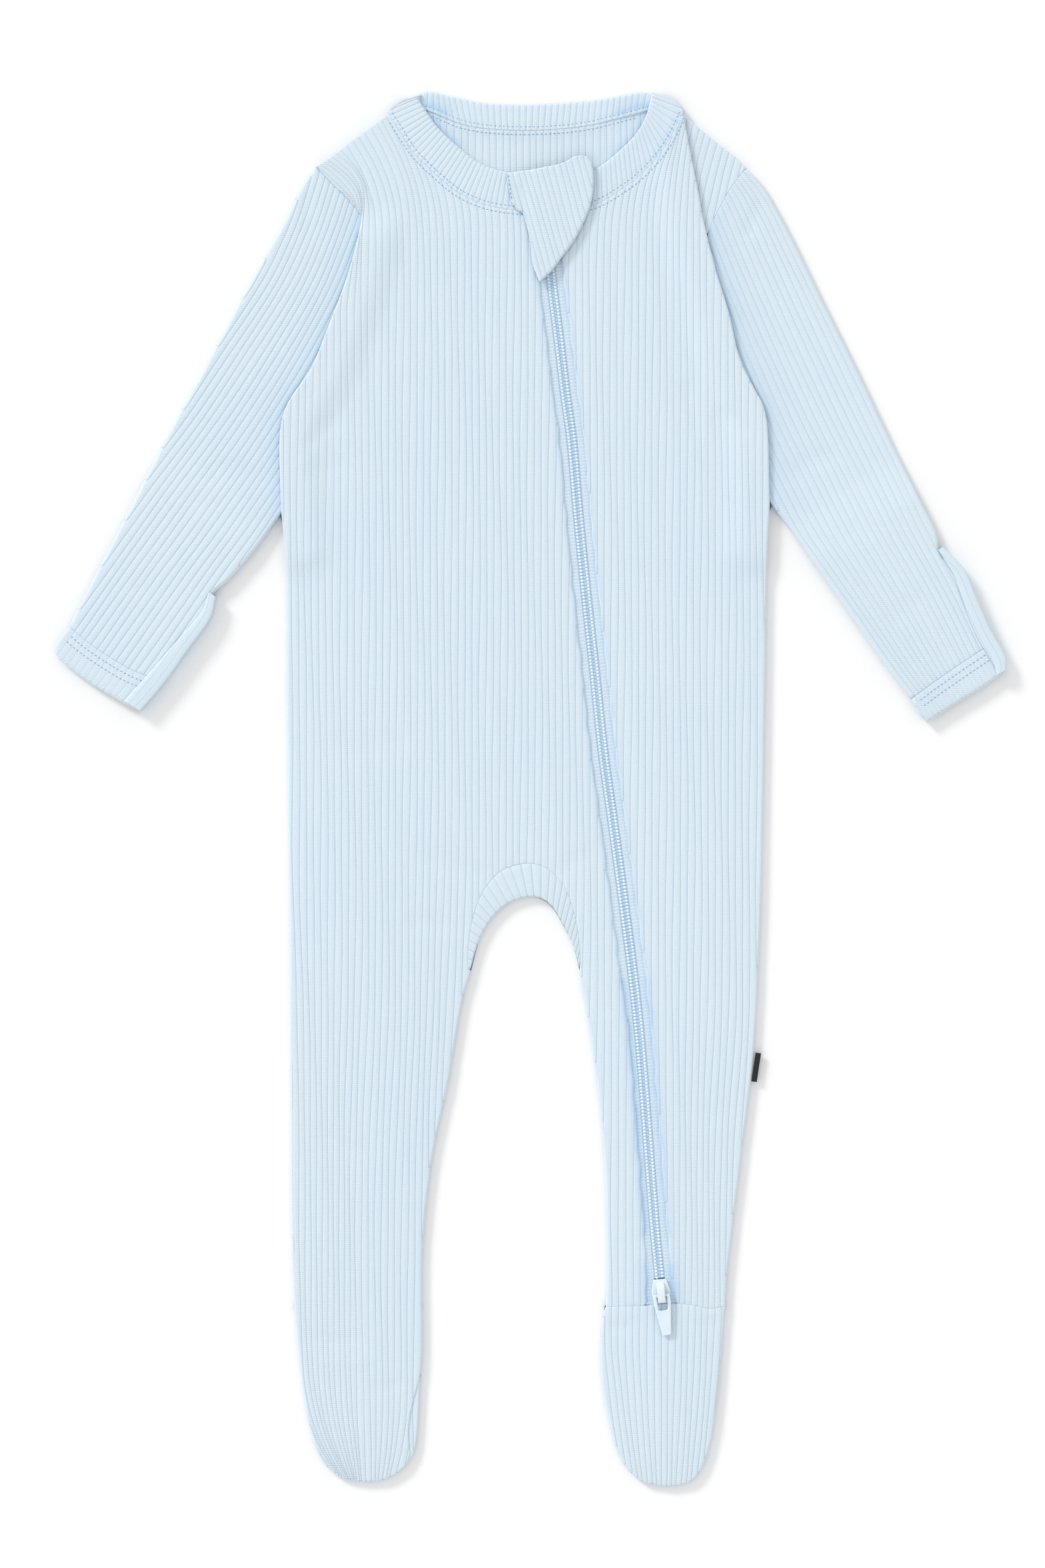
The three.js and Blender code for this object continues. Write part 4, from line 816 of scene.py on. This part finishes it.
zipEdges = {side: zipEdge(side) for side in (-1, 1)}
# painted blue shade beside the zip: along both panel edges, stronger down the lower leg, and around the slider
zipShades = {side: [(zipEdges[side][::6], 0.7, 0.5), (between(zipEdges[side], -188, -80)[::6], 1.1, low),
                    (between(zipEdges[side], -214, -200)[::2], 1.6, 0.6)] for side, low in ((-1, 0.85), (1, 0.6))}

frontRightOutline = loop(
    rightShoulder, beside(bandSeamRight, -gap)[:-1],
    between(zipEdges[-1], ankleY + 1, 241),
    backwards(ankleSeam[ankleSeam[:, 0] < zipX(ankleY) - zipSeam]) + (0, gap),
    backwards(between(leftInner, ankleY + 2, -75.4)), backwards(beside(gussetSeam, gap)),
    backwards(between(rightInner, -245, -76.4)), beside(soleSeam, -gap)[1:],
    backwards(rightToe[rightToe[:, 1] < -284.5]), backwards(rightSide)[1:], backwards(rightFold)[1:],
    backwards(beside(between(rightArmseam, 241, 262), gap))[:-1])
frontRight = finishPiece(
    ribbedSheet(frontRightOutline, rightBodyRibs, (-3, 58), frontTop, frontLow,
                free=[*freeEdges, zipEdges[-1]], strokes=zipShades[-1]),
    "frontRight", knitBlue, ["front_right"])

frontLeftOutline = loop(
    between(zipEdges[1], ankleY + 2, 241), ankleSeam[ankleSeam[:, 0] > zipX(ankleY) + zipSeam] + (0, gap),
    between(leftSide, ankleY + 2, 118), backwards(leftFold),
    backwards(beside(bandSeamLeft, -gap))[1:-1])
frontLeft = finishPiece(
    ribbedSheet(frontLeftOutline, leftBodyRibs, (36, 73), frontTop, frontLow,
                free=[*freeEdges, zipEdges[1]], strokes=zipShades[1]),
    "frontLeft", knitBlue, ["front_left"])

tuckEdge = between(beside(leftFold, -4), 233, 281)
tuckOutline = loop(leftShoulder, beside(between(leftArmseam, 233, 261), -gap)[1:], backwards(tuckEdge))
shoulderTuck = finishPiece(
    ribbedSheet(tuckOutline, tuckRibs, (-2, 11), lambda x, y: 0 * x + 2.7, lambda x, y: 0 * x + 1.35,
                rowStep=2.0),
    "shoulderTuck", knitBlue, ["front_left"])
print("scene: front panels laid")

backOutline = loop(
    rightArmseam + (gap, 0), between(rightSide, ankleY, 113), between(rightInner, ankleY, -77), crotch,
    between(leftInner, ankleY, -77), between(leftSide, ankleY, 117), backwards(leftArmseam) - (gap, 0),
    backwards(leftShoulder)[1:-2], [(61, 285.2), (52.5, 285.2)], backwards(beside(bandSeamBack, -gap))[1:-1],
    [(-50.5, 283.9), (-58, 283.9)], backwards(rightShoulder)[1:-1])
backSheet = ribbedSheet(backOutline, straightRibs, (-37, 36), lambda x, y: 0.9 + creased(x, y, backCreases),
                        lambda x, y: 0 * x - 0.15, fine=False)
turnOver(backSheet, backSheet.verts[:] + backSheet.faces[:], lambda x, y: 0 * x + cloth["wall"] / 2)
backPanel = finishPiece(backSheet, "backPanel", knitBlue, ["back_panel"])

liningOutline = loop(run([(-46, 236), (50, 236)]), [(50, 284.6)], backwards(beside(bandSeamBack, 2))[2:-2],
                     [(-46, 284)])
# painted shade in the inner corners of the neck, beside the front band's inner edges
neckShades = [(run([(-45.4, 288), (-43.4, 283.6), (-38.4, 276.6), (-31, 269.6)]), 1.7, 0.7),
              (run([(49, 287.5), (47.4, 281.4), (43, 273.6), (36, 266.6)]), 1.6, 0.5)]


def liningTop(x, y):
    return 0.9 + creased(x, y, [(bandSeamBack, 2.6, 0.62)])


neckLining = finishPiece(
    ribbedSheet(liningOutline, straightRibs, (-17, 18), liningTop, lambda x, y: 0 * x + 0.7,
                strokes=neckShades),
    "neckLining", knitBlue, ["back_panel"])

gusset = finishPiece(ribbedStrip(gussetRows, 26, frontLow, cloth["wall"] + body["rimDepth"], radii=(0.6, 0.35)),
                     "gusset", knitBlue, ["crotch_gusset"])
loop(*[np.array([(r[0], r[1]) for r in gussetRows]),
                          np.array([(r[2], r[3]) for r in gussetRows])[::-1]])
print("scene: back panel and gusset laid")


# Feet

footOutline = loop(
    ankleSeam - (0, gap), backwards(between(leftSide, -300, ankleY - 2)),
    backwards(between(leftInner, -291, ankleY - 2)))
footUpper = finishPiece(ribbedSheet(footOutline, footRibs, (-3, 20), frontTop, frontLow, rowStep=2.0),
                        "footUpper", knitBlue, ["foot_upper_left"])


def layBelow(name, outline, nodes, edge=None):
    sheet = ribbedSheet(outline, straightRibs, (-36, 30), lambda x, y: 0 * x + 0.9,
                        lambda x, y: 0 * x - 0.15, fine=False, rowStep=3.0)
    turnOver(sheet, sheet.verts[:] + sheet.faces[:], lambda x, y: 0 * x + cloth["wall"] / 2)
    if edge:
        joinInto(sheet, edge)
    piece = finishPiece(sheet, name, knitBlue, nodes)
    return piece


sliverOutline = loop(beside(soleSeam, -1.8), rightToe[(rightToe[:, 1] > -284.6) & (rightToe[:, 0] > -54)])
soleEdge = ribbedSheet(sliverOutline, straightRibs, (-20, -14), lambda x, y: 0 * x + 2.35,
                       lambda x, y: 0 * x + 1.2, rowStep=1.5, radius=0.5)
rightSole = layBelow("rightSole", loop(
    between(rightSide, -300, ankleY - gap), rightToe, between(rightInner, -245, ankleY - gap)),
    ["sole_right"], soleEdge)
leftSole = layBelow("leftSole", loop(
    backwards(between(leftSide, -300, ankleY - gap)), backwards(between(leftInner, -291, ankleY - gap))),
    ["sole_left"])
print("scene: feet laid")


# Sleeves, cuffs and mittens

sleeveWall = 2.75
arms = {
    "right": {
        "side": 1, "axis": (-0.545, -0.839), "ribs": (-10, 15), "flap": 42,
        "creases": [(run([(-96.4, 252), (-93.6, 241), (-89.4, 228)]), 2.6, -0.5),
                    (run([(-109, 124), (-122, 133), (-139, 133)]), 4.2, -0.4),
                    (run([(-122, 106), (-132, 117), (-148, 122)]), 3.6, -0.28),
                    (run([(-150, 74), (-158, 84), (-170, 88)]), 3.4, -0.3)],
        "outer": run([(-89.8, 261), (-94.6, 255.4), (-98.6, 247.5), (-105.8, 233.5), (-121.5, 205.5),
                      (-136.4, 177.5), (-151.8, 149.5), (-166, 121.5), (-180.6, 93.5), (-193.5, 68.3)]),
        "cuffSeam": run([(-193.5, 68.3), (-184.5, 60.8), (-168.6, 50.8), (-155.2, 45.3)]),
        "inner": run([(-155.2, 45.3), (-146, 58.6), (-137.3, 71.4), (-134.6, 79), (-133.2, 82.2),
                      (-127.1, 87.3), (-115.4, 100.5), (-105.2, 114.6)]),
        "armseam": rightArmseam, "fold": rightFold,
        "hem": run([(-199.6, 58.5), (-198.6, 55.6), (-194, 51.5), (-184.5, 44.5), (-173.6, 37.8),
                    (-166, 33.8)]),
        "cuffOuter": run([(-197.6, 63.4), (-199.2, 60.6)]), "cuffInner": run([(-165, 34.2)]),
        "field": ribField([
            (0, [(-193.5, 68.3), (-152.9, 124.3), (-130.5, 155.1), (-112.3, 183.1), (-95.5, 211.1),
                 (-85.7, 233.5), (-80, 250.3), (-76, 264.3)]),
            (15, [(-171.5, 22), (-153.4, 44.5), (-143.4, 58.5), (-132.2, 75), (-121, 91.5), (-109.8, 106.5),
                  (-102.5, 117.3), (-88.5, 138.3), (-77.3, 157.9), (-67.5, 174.7), (-59.1, 191.5),
                  (-52.1, 208.3), (-46.5, 225.1), (-40, 245)])]),
        "mitten": [(-131.8, 80.6, 3.6), (-134, 71.8, 4.8), (-143.4, 58.5, 6.2), (-153.4, 44.5, 7.8),
                   (-163.4, 32.7, 8.2)],
    },
    "left": {
        "side": -1, "axis": (0.53, -0.848), "ribs": (-2, 21), "flap": 39,
        "creases": [(run([(97, 250), (93.6, 239), (88, 228)]), 2.8, -0.4),
                    (run([(106, 127), (118, 138), (132, 139)]), 4.0, -0.4),
                    (run([(124, 98), (135, 108), (149, 111)]), 3.8, -0.3),
                    (run([(148, 66), (157, 76), (168, 79)]), 3.2, -0.26)],
        "outer": run([(90.4, 260.6), (95.8, 255.4), (100.8, 247.5), (108.4, 233.5), (122.1, 205.5),
                      (136.1, 177.5), (149.5, 149.5), (163.2, 121.5), (170.2, 107.5), (171.4, 101.2),
                      (175, 95.4), (178.4, 91), (184.9, 79.5), (191.2, 66.5), (193.6, 61.4)]),
        "cuffSeam": run([(193.6, 61.4), (180, 52.4), (168.6, 44.5), (159.6, 37.8)]),
        "inner": run([(159.6, 37.8), (149, 51.5), (139.2, 65.5), (129.4, 79.5), (119.6, 93.5), (110, 107.5),
                      (104.7, 114.5), (101.2, 119)]),
        "armseam": leftArmseam, "fold": leftFold[5:],
        "hem": run([(197.5, 48.4), (190, 42.9), (180, 36.8), (166.3, 28)]),
        "cuffOuter": run([(196.4, 56.4), (198, 51.6)]), "cuffInner": run([(163, 31.6)]),
        "field": ribField([
            (0, [(50, 250), (55.7, 233.5), (65.5, 205.5), (76.2, 177.5), (86.5, 152.3), (97.2, 131.3),
                 (110, 107.5), (119.6, 93.5), (129.4, 79.5), (139.2, 65.5), (149, 51.5), (159.6, 37.8),
                 (170, 23)]),
            (18, [(91, 259.8), (100.8, 247.5), (115.1, 219.5), (129.1, 191.5), (143.1, 163.5),
                  (157.1, 135.5), (170.2, 107.5), (183.1, 82.3), (193.8, 58.5), (204, 36)])]),
        "mitten": [(172.8, 101.6, 2.4), (177.9, 96.6, 4), (182, 91.7, 5), (186.6, 81, 6),
                   (192.8, 67, 6.5), (199.2, 55.3, 6), (199.4, 50.4, 4.8)],
    },
}
mitten = {"wall": 1.0, "across": 14, "step": 2.0, "climb": (-42, -24)}


def sleeveUnder(arm):
    (dx, dy), (x0, y0, top) = arm["axis"], arm["mitten"][0]
    low, high = mitten["climb"]

    def under(x, y):
        share = np.clip(((x - x0) * dx + (y - y0) * dy - low) / (high - low), 0, 1)
        return (mitten["wall"] + cloth["seamGap"]) * share
    return under


def layTube(name, arm, outline, openEdge, node, material=knitBlue, ribHeight=cloth["ribHeight"], strokes=()):
    under = sleeveUnder(arm)
    half = (sleeveWall + cloth["ribHeight"]) / 2

    def middle(x, y):
        return under(x, y) + half

    def top(x, y):
        return under(x, y) + sleeveWall + creased(x, y, arm["creases"])

    sheet = ribbedSheet(outline, arm["field"], arm["ribs"], top, middle,
                        radius=1.3, rowStep=2.5, strokes=strokes, ribHeight=ribHeight,
                        free=[arm[name] for name in ("outer", "inner", "hem", "cuffOuter", "cuffInner")])
    flatTube(sheet, middle, openEdge)
    piece = finishPiece(sheet, name, material, [node])
    return piece


def layMitten(name, arm, node):
    t, lift = mitten["wall"], mitten["wall"] + cloth["seamGap"]
    high = lift + sleeveWall + cloth["ribHeight"] + cloth["seamGap"] + t
    nx, ny = arm["axis"][1], -arm["axis"][0]
    rows = np.array(arm["mitten"])
    lengths = np.r_[0, np.cumsum(np.hypot(*np.diff(rows[:, :2], axis=0).T))]
    count = int(lengths[-1] / mitten["step"]) + 1
    at = np.linspace(0, lengths[-1], count)
    x, y, top = (smoothThrough(lengths, rows[:, k])(at) for k in range(3))
    ribsAcross = [k * 2.9 + 2.9 * c for k in range(int(arm["flap"] / 2.9)) for c in cloth["fineRib"][0]]
    below = [(w, 0.0) for w in backwards(np.array(ribsAcross)) if w > 0.8]
    turn = [(0.8 - 0.8 * math.sin(a), 0.8 - 0.8 * math.cos(a)) for a in np.radians([0, 30, 60, 90])]
    over = [(0.8 - 0.8 * math.cos(a), high - 0.8 + 0.8 * math.sin(a)) for a in np.radians([0, 30, 60, 90])]
    section = [(arm["flap"], t), (arm["flap"], 0.2)] + below + turn + over
    shares = [0.3, 0.6, 0.85, 0.95, 1.0]
    drops = [0, 0, 0.05, 0.3, 1.0]
    bm, i, j = gridOf(len(section) + len(shares), count)
    w = np.array([s[0] for s in section] + [0.0] * len(shares))[i]
    z = np.array([s[1] for s in section] + [high] * len(shares))[i]
    for k, (share, drop) in enumerate(zip(shares, drops)):
        here = i == len(section) + k
        w[here] = 0.8 + (top[j[here]] - 0.8) * share
        z[here] = high - drop * t
    places = np.c_[x[j] + nx * w, y[j] + ny * w]
    layGrid(bm, places, z, np.zeros((len(w), 2)), np.c_[w / 2.9, at[j], 0 * w])
    bmesh.ops.recalc_face_normals(bm, faces=bm.faces)
    piece = finishPiece(bm, name, knitBlue, [node])
    return piece


for side, arm in arms.items():
    sleeveOutline = loop(arm["outer"], arm["cuffSeam"][1:], arm["inner"][1:], backwards(arm["armseam"])[1:-1])
    # painted shade on the sleeve beside the front's fold edge
    layTube("sleeve" + side.title(), arm, sleeveOutline, arm["armseam"], "sleeve_" + side,
            strokes=[(arm["fold"], 2.2, 0.5), (arm["fold"], 7.0, 0.25)])
    seam = beside(arm["cuffSeam"], -arm["side"] * gap)
    cuffOutline = loop(seam, arm["cuffInner"], backwards(arm["hem"]), backwards(arm["cuffOuter"]))
    layTube("cuff" + side.title(), arm, cuffOutline, seam, "cuff_" + side, hemKnit, cloth["hemRib"])
    layMitten("mitten" + side.title(), arm, "mitten_" + side)
print("scene: sleeves, cuffs and mittens laid")


# Neck band, zip guard and zip

# shades: painted shade in the neck corners, laid on the back band
band = {"wall": 1.8, "radius": 0.9, "stitchIn": 1.6, "stitchOut": 1.6,
        "shades": [*neckShades, (run([(-50, 284), (-42, 287), (-36, 284)]), 2.2, 0.5),
                   (run([(38, 284), (46, 287), (52, 286)]), 2.2, 0.45)]}


def layBand(name, rows, ribs, level):
    strip = ribbedStrip(rows, ribs, lambda x, y: 0 * x + level, band["wall"], across=11,
                        radii=(band["radius"], cloth["seamRound"]), relief=0.15,
                        troughs=[(band["stitchIn"], 0.25, 0.6)], strokes=band["shades"] if level < 1 else ())
    piece = finishPiece(strip, name, bandKnit, ["neck_band"])
    edges = np.array(rows)
    loop(edges[:, :2], edges[::-1, 2:])
    return piece


layBand("bandRight", bandRight, 32, 1.5)
layBand("bandLeft", bandLeft, 27, 1.5)
layBand("bandBack", bandBack, 40, 0.0)

guardOutline = loop(
    run([(-10.3, 258.1), (-5, 258.8), (1.5, 259.7), (6.5, 260.8), (11.5, 261.7), (14.7, 262.8), (18.5, 265.2),
         (22.7, 265.4), (25, 264), (26.2, 260), (26.4, 252), (25.4, 245.4), (23.6, 240.4), (21.5, 235.8),
         (18.3, 229.7), (12.9, 222.5), (9.3, 217.5)]), [(3.8, 212.4)],
    run([(0.8, 219.8), (-0.1, 228.6), (-1.7, 236.5), (-3.5, 241.8)]), [(-5, 242.2), (-8, 245.8)])
# shades: painted shade along the guard's right edge, its stitched left edge and its fold
guard = {"pitch": 2.6, "slant": 0.27, "level": 3.95, "step": 0.4, "wall": 1.5,
         "fold": run([(-4.6, 252.6), (-3.1, 244.4), (-1.7, 236.6), (0, 228.5), (0.8, 219.8), (3.6, 212.3)]),
         "shades": [(guardOutline[guardOutline[:, 0] > 8], 0.6, 0.35), (run([(-9.9, 258), (-7.9, 246.2)]), 0.3, 0.9),
                    (run([(-2.6, 241.8), (-1.6, 236.4), (-0.1, 228.4), (0.8, 220)]), 0.4, 0.7)]}


def guardLow(x, y):
    return guard["level"] + guard["step"] * ease(-3, 3, x)


def guardTop(x, y):
    fold = nearest(guard["fold"], np.c_[x, y])[0]
    return guardLow(x, y) + guard["wall"] - 0.35 * np.exp(-(fold / 0.6) ** 2)


zipGuard = finishPiece(
    ribbedSheet(guardOutline, lambda rib, y: rib * guard["pitch"] - (y - 240) * guard["slant"], (-7, 16),
                guardTop, guardLow, rowStep=1.5, free=[guardOutline],
                strokes=guard["shades"]),
    "zipGuard", knitBlue, ["zip_guard"])


def alongZip(inner, outer, top, foot, step=6.0):
    ys = np.linspace(top, foot, int((top - foot) / step) + 1)
    slope = zipX(ys - 0.5) - zipX(ys + 0.5)
    length = np.hypot(slope, 1)
    return [(zipX(y) + inner / n, y + inner * s / n, zipX(y) + outer / n, y + outer * s / n)
            for y, s, n in zip(ys, slope, length)]


zipTapes = {"inner": 2.2, "outer": 6.9, "top": 257.4, "level": 1.6, "wall": 1.0, "threads": 330}
for side, name in ((-1, "right"), (1, "left")):
    rows = alongZip(side * zipTapes["inner"], side * zipTapes["outer"], zipTapes["top"], ankleY + 0.6)
    # painted shade on the tapes: the zip's shade strokes, and a thin line beside the coils
    strip = ribbedStrip(rows, zipTapes["threads"], lambda x, y: 0 * x + zipTapes["level"], zipTapes["wall"],
                        across=6, radii=(0.15, 0.3), relief=0.08,
                        strokes=[*zipShades[side], (beside(zipLine[::2], side * 2.2), 0.3, 0.3)])
    finishPiece(strip, "tape" + name.title(), tapeWeave, ["zip_tape_" + name])

chain = {"top": 239.7, "foot": -205.0, "half": 2.18, "level": 1.6, "wall": 0.85, "pitch": 1.4,
         "rowAt": 1.2, "beadTop": 2.55, "bead": (1.4, 1.25, 1.35, 1.2)}
core = ribbedStrip(alongZip(-chain["half"], chain["half"], chain["top"], chain["foot"]),
                   int((chain["top"] - chain["foot"]) / chain["pitch"]), lambda x, y: 0 * x + chain["level"],
                   chain["wall"], across=7, radii=(0.1, 0.1), relief=0.2)
finishPiece(core, "zipCore", coreBlue, ["zip_chain"])
beads = bmesh.new()
for side in (-1, 1):
    line = between(beside(run(zipPath, 1.5), side * chain["rowAt"]), chain["foot"], chain["top"])
    rowOfBeads(beads, line, lambda x, y: 0 * x + chain["beadTop"], chain["bead"],
               start=0.0 if side < 0 else chain["pitch"] / 2)
finishPiece(beads, "zipCoils", coilBlue, ["zip_chain"])


def sliderPlate(length):
    return [(-2.7, 0), (2.7, 0), (4, -length / 2), (3.4, 1 - length), (2.6, -length), (-2.6, -length),
            (-3.4, 1 - length), (-4, -length / 2)]


sliderPlace = placedAt(float(zipX(slider["y"])), slider["y"], turned(slider["turn"]))
sliderMesh = bmesh.new()
addPlate(sliderMesh, sliderPlate(slider["length"]), 2.9, 4.3, 0.4, sliderPlace)
addPlate(sliderMesh, [(-1.7, -1), (1.7, -1), (1.7, -9), (-1.7, -9)], 1.6, 3.0, 0.1, sliderPlace)
upright = sliderPlace @ Matrix(((0, 0, 1, 0), (1, 0, 0, 0), (0, 1, 0, 0), (0, 0, 0, 1)))
strap = [(-1, 4.1), (-2.2, 5.7), (-3.1, 6.6), (-4.2, 6.95), (-8.6, 6.95), (-9.4, 6.8), (-9.8, 6.3), (-9.9, 4.1),
         (-8.3, 4.1), (-8.3, 6.2), (-5.1, 6.2), (-4.3, 5.8), (-3.6, 4.1)]
addPlate(sliderMesh, strap, -1.6, 1.6, 0.3, upright)
finishPiece(sliderMesh, "zipSlider", sliderPaint, ["zip_slider"])

pullTab = {"pivot": (0, -6.7, 5.3), "droop": 2.2, "turn": 3.0, "half": 0.55, "rounding": 0.35,
           "outline": [(-3.5, 0.55), (3.5, 0.55), (3.6, -3), (2, -16.2), (1.4, -16.9), (-1.4, -16.9), (-2, -16.2),
                       (-3.6, -3)],
           "ring": [(-2.1, -0.55), (-2.1, -5.6), (-1.5, -6.3), (1.5, -6.3), (2.1, -5.6), (2.1, -0.55)]}
tabMesh = bmesh.new()
tabPlace = sliderPlace @ Matrix.Translation(pullTab["pivot"]) @ turned(pullTab["droop"], "X") @ turned(pullTab["turn"])
addPlate(tabMesh, pullTab["outline"], -pullTab["half"], pullTab["half"], pullTab["rounding"], tabPlace,
         pullTab["ring"])
finishPiece(tabMesh, "pullTab", sliderPaint, ["pull_tab"], tabBody)

hiddenPlace = placedAt(float(zipX(249)), 249, turned(7.5))
hiddenMesh = bmesh.new()
addPlate(hiddenMesh, sliderPlate(9), 1.6, 3.4, 0.3, hiddenPlace)
addPlate(hiddenMesh, [(-2.4, -4), (2.4, -4), (1.6, -18), (-1.6, -18)], 3.4, 4.0, 0.2, hiddenPlace)
finishPiece(hiddenMesh, "hiddenSlider", sliderPaint, ["zip_slider_top"])

label = {"center": (94.7, -116.6), "turn": -8.5, "half": (1.15, 6.1), "levels": (1.5, 2.3)}
labelMesh = bmesh.new()
w, h = label["half"]
addPlate(labelMesh, [(-w, -h), (w, -h), (w, h), (-w, h)], *label["levels"], 0.12,
         placedAt(*label["center"], turned(label["turn"])))
finishPiece(labelMesh, "sideLabel", labelBlack, ["side_label"])
print("scene: neck and zip laid")


# Stitches, dark blue for the thread and for the painted shade of the holes it sinks into

stitch = {"dot": (1.8, 1.15, 0.55, 0.4), "sunk": 0.03}
stitches = bmesh.new()


def sew(path, heightAt):
    rowOfBeads(stitches, path, heightAt, stitch["dot"], (6, 4))


def onBand(level):
    return lambda x, y: 0 * x + level + band["wall"] - 0.1


def onFront(x, y):
    return frontTop(x, y) + cloth["ribHeight"] - stitch["sunk"]


sew(beside(bandSeamRight, band["stitchIn"]), onBand(1.5))
sew(beside(bandSeamLeft, band["stitchIn"]), onBand(1.5))
sew(beside(bandSeamBack, band["stitchIn"]), onBand(0.0))
sew(beside(bandSeamBack, -band["stitchOut"])[3:-3], lambda x, y: liningTop(x, y) + cloth["ribHeight"] - stitch["sunk"])
sew(beside(bandSeamRight, -band["stitchOut"])[1:], onFront)
sew(beside(bandSeamLeft, -band["stitchOut"])[:-1], onFront)
for side, arm in arms.items():
    under = sleeveUnder(arm)
    for distance in (2.6, 5.4):
        sew(beside(arm["cuffSeam"], -arm["side"] * distance)[1:-1],
            lambda x, y: under(x, y) + sleeveWall + cloth["hemRib"] - stitch["sunk"])
sew(run([(-9.5, 257.6), (-8, 247)]), lambda x, y: guardTop(x, y) + cloth["ribHeight"] - stitch["sunk"])
finishPiece(stitches, "stitches", threadAndHoleShade, [])
print("scene: stitches laid")


# Stage, light and camera

view = {"center": (-3.36, 2.24), "height": 1829.0, "lens": 100.0, "tallSide": 36.0}
stage = {"size": 6.0, "level": -0.0004, "color": (0.9, 0.9, 0.9), "sky": 0.9, "key": 1.5,
         "keyAngle": 14.0, "keyFrom": (-0.8, 0.8, 0.6)}


def layFloor():
    bm = bmesh.new()
    bmesh.ops.create_grid(bm, x_segments=1, y_segments=1, size=stage["size"] / 2)
    bmesh.ops.translate(bm, verts=bm.verts, vec=(0, 0, stage["level"]))
    mesh = bpy.data.meshes.new("floor")
    bm.to_mesh(mesh)
    bm.free()
    floor = bpy.data.objects.new("floor", mesh)
    mesh.materials.append(newMaterial("paleFloor", stage["color"], 0.9)[0])
    bpy.context.collection.objects.link(floor)


def lightTheScene():
    world = bpy.data.worlds.new("softRoom")
    bpy.context.scene.world = world
    world.use_nodes = True
    world.node_tree.nodes["Background"].inputs["Color"].default_value = (1, 1, 1, 1)
    world.node_tree.nodes["Background"].inputs["Strength"].default_value = stage["sky"]
    key = bpy.data.lights.new("key", "SUN")
    key.energy, key.angle = stage["key"], math.radians(stage["keyAngle"])
    lamp = bpy.data.objects.new("key", key)
    lamp.rotation_euler = Vector(stage["keyFrom"]).to_track_quat("Z", "Y").to_euler()
    bpy.context.collection.objects.link(lamp)


def placeCamera():
    camera = bpy.data.cameras.new("camera")
    camera.lens, camera.sensor_fit = view["lens"], "VERTICAL"
    camera.sensor_height = view["tallSide"]
    eye = bpy.data.objects.new("camera", camera)
    x, y, z = put([(*view["center"], view["height"])])[0]
    eye.location = (x, y, z)
    bpy.context.collection.objects.link(eye)
    bpy.context.scene.camera = eye


layFloor()
lightTheScene()
placeCamera()
bpy.context.scene.view_settings.view_transform = "Standard"
print("scene: stage, light and camera ready")
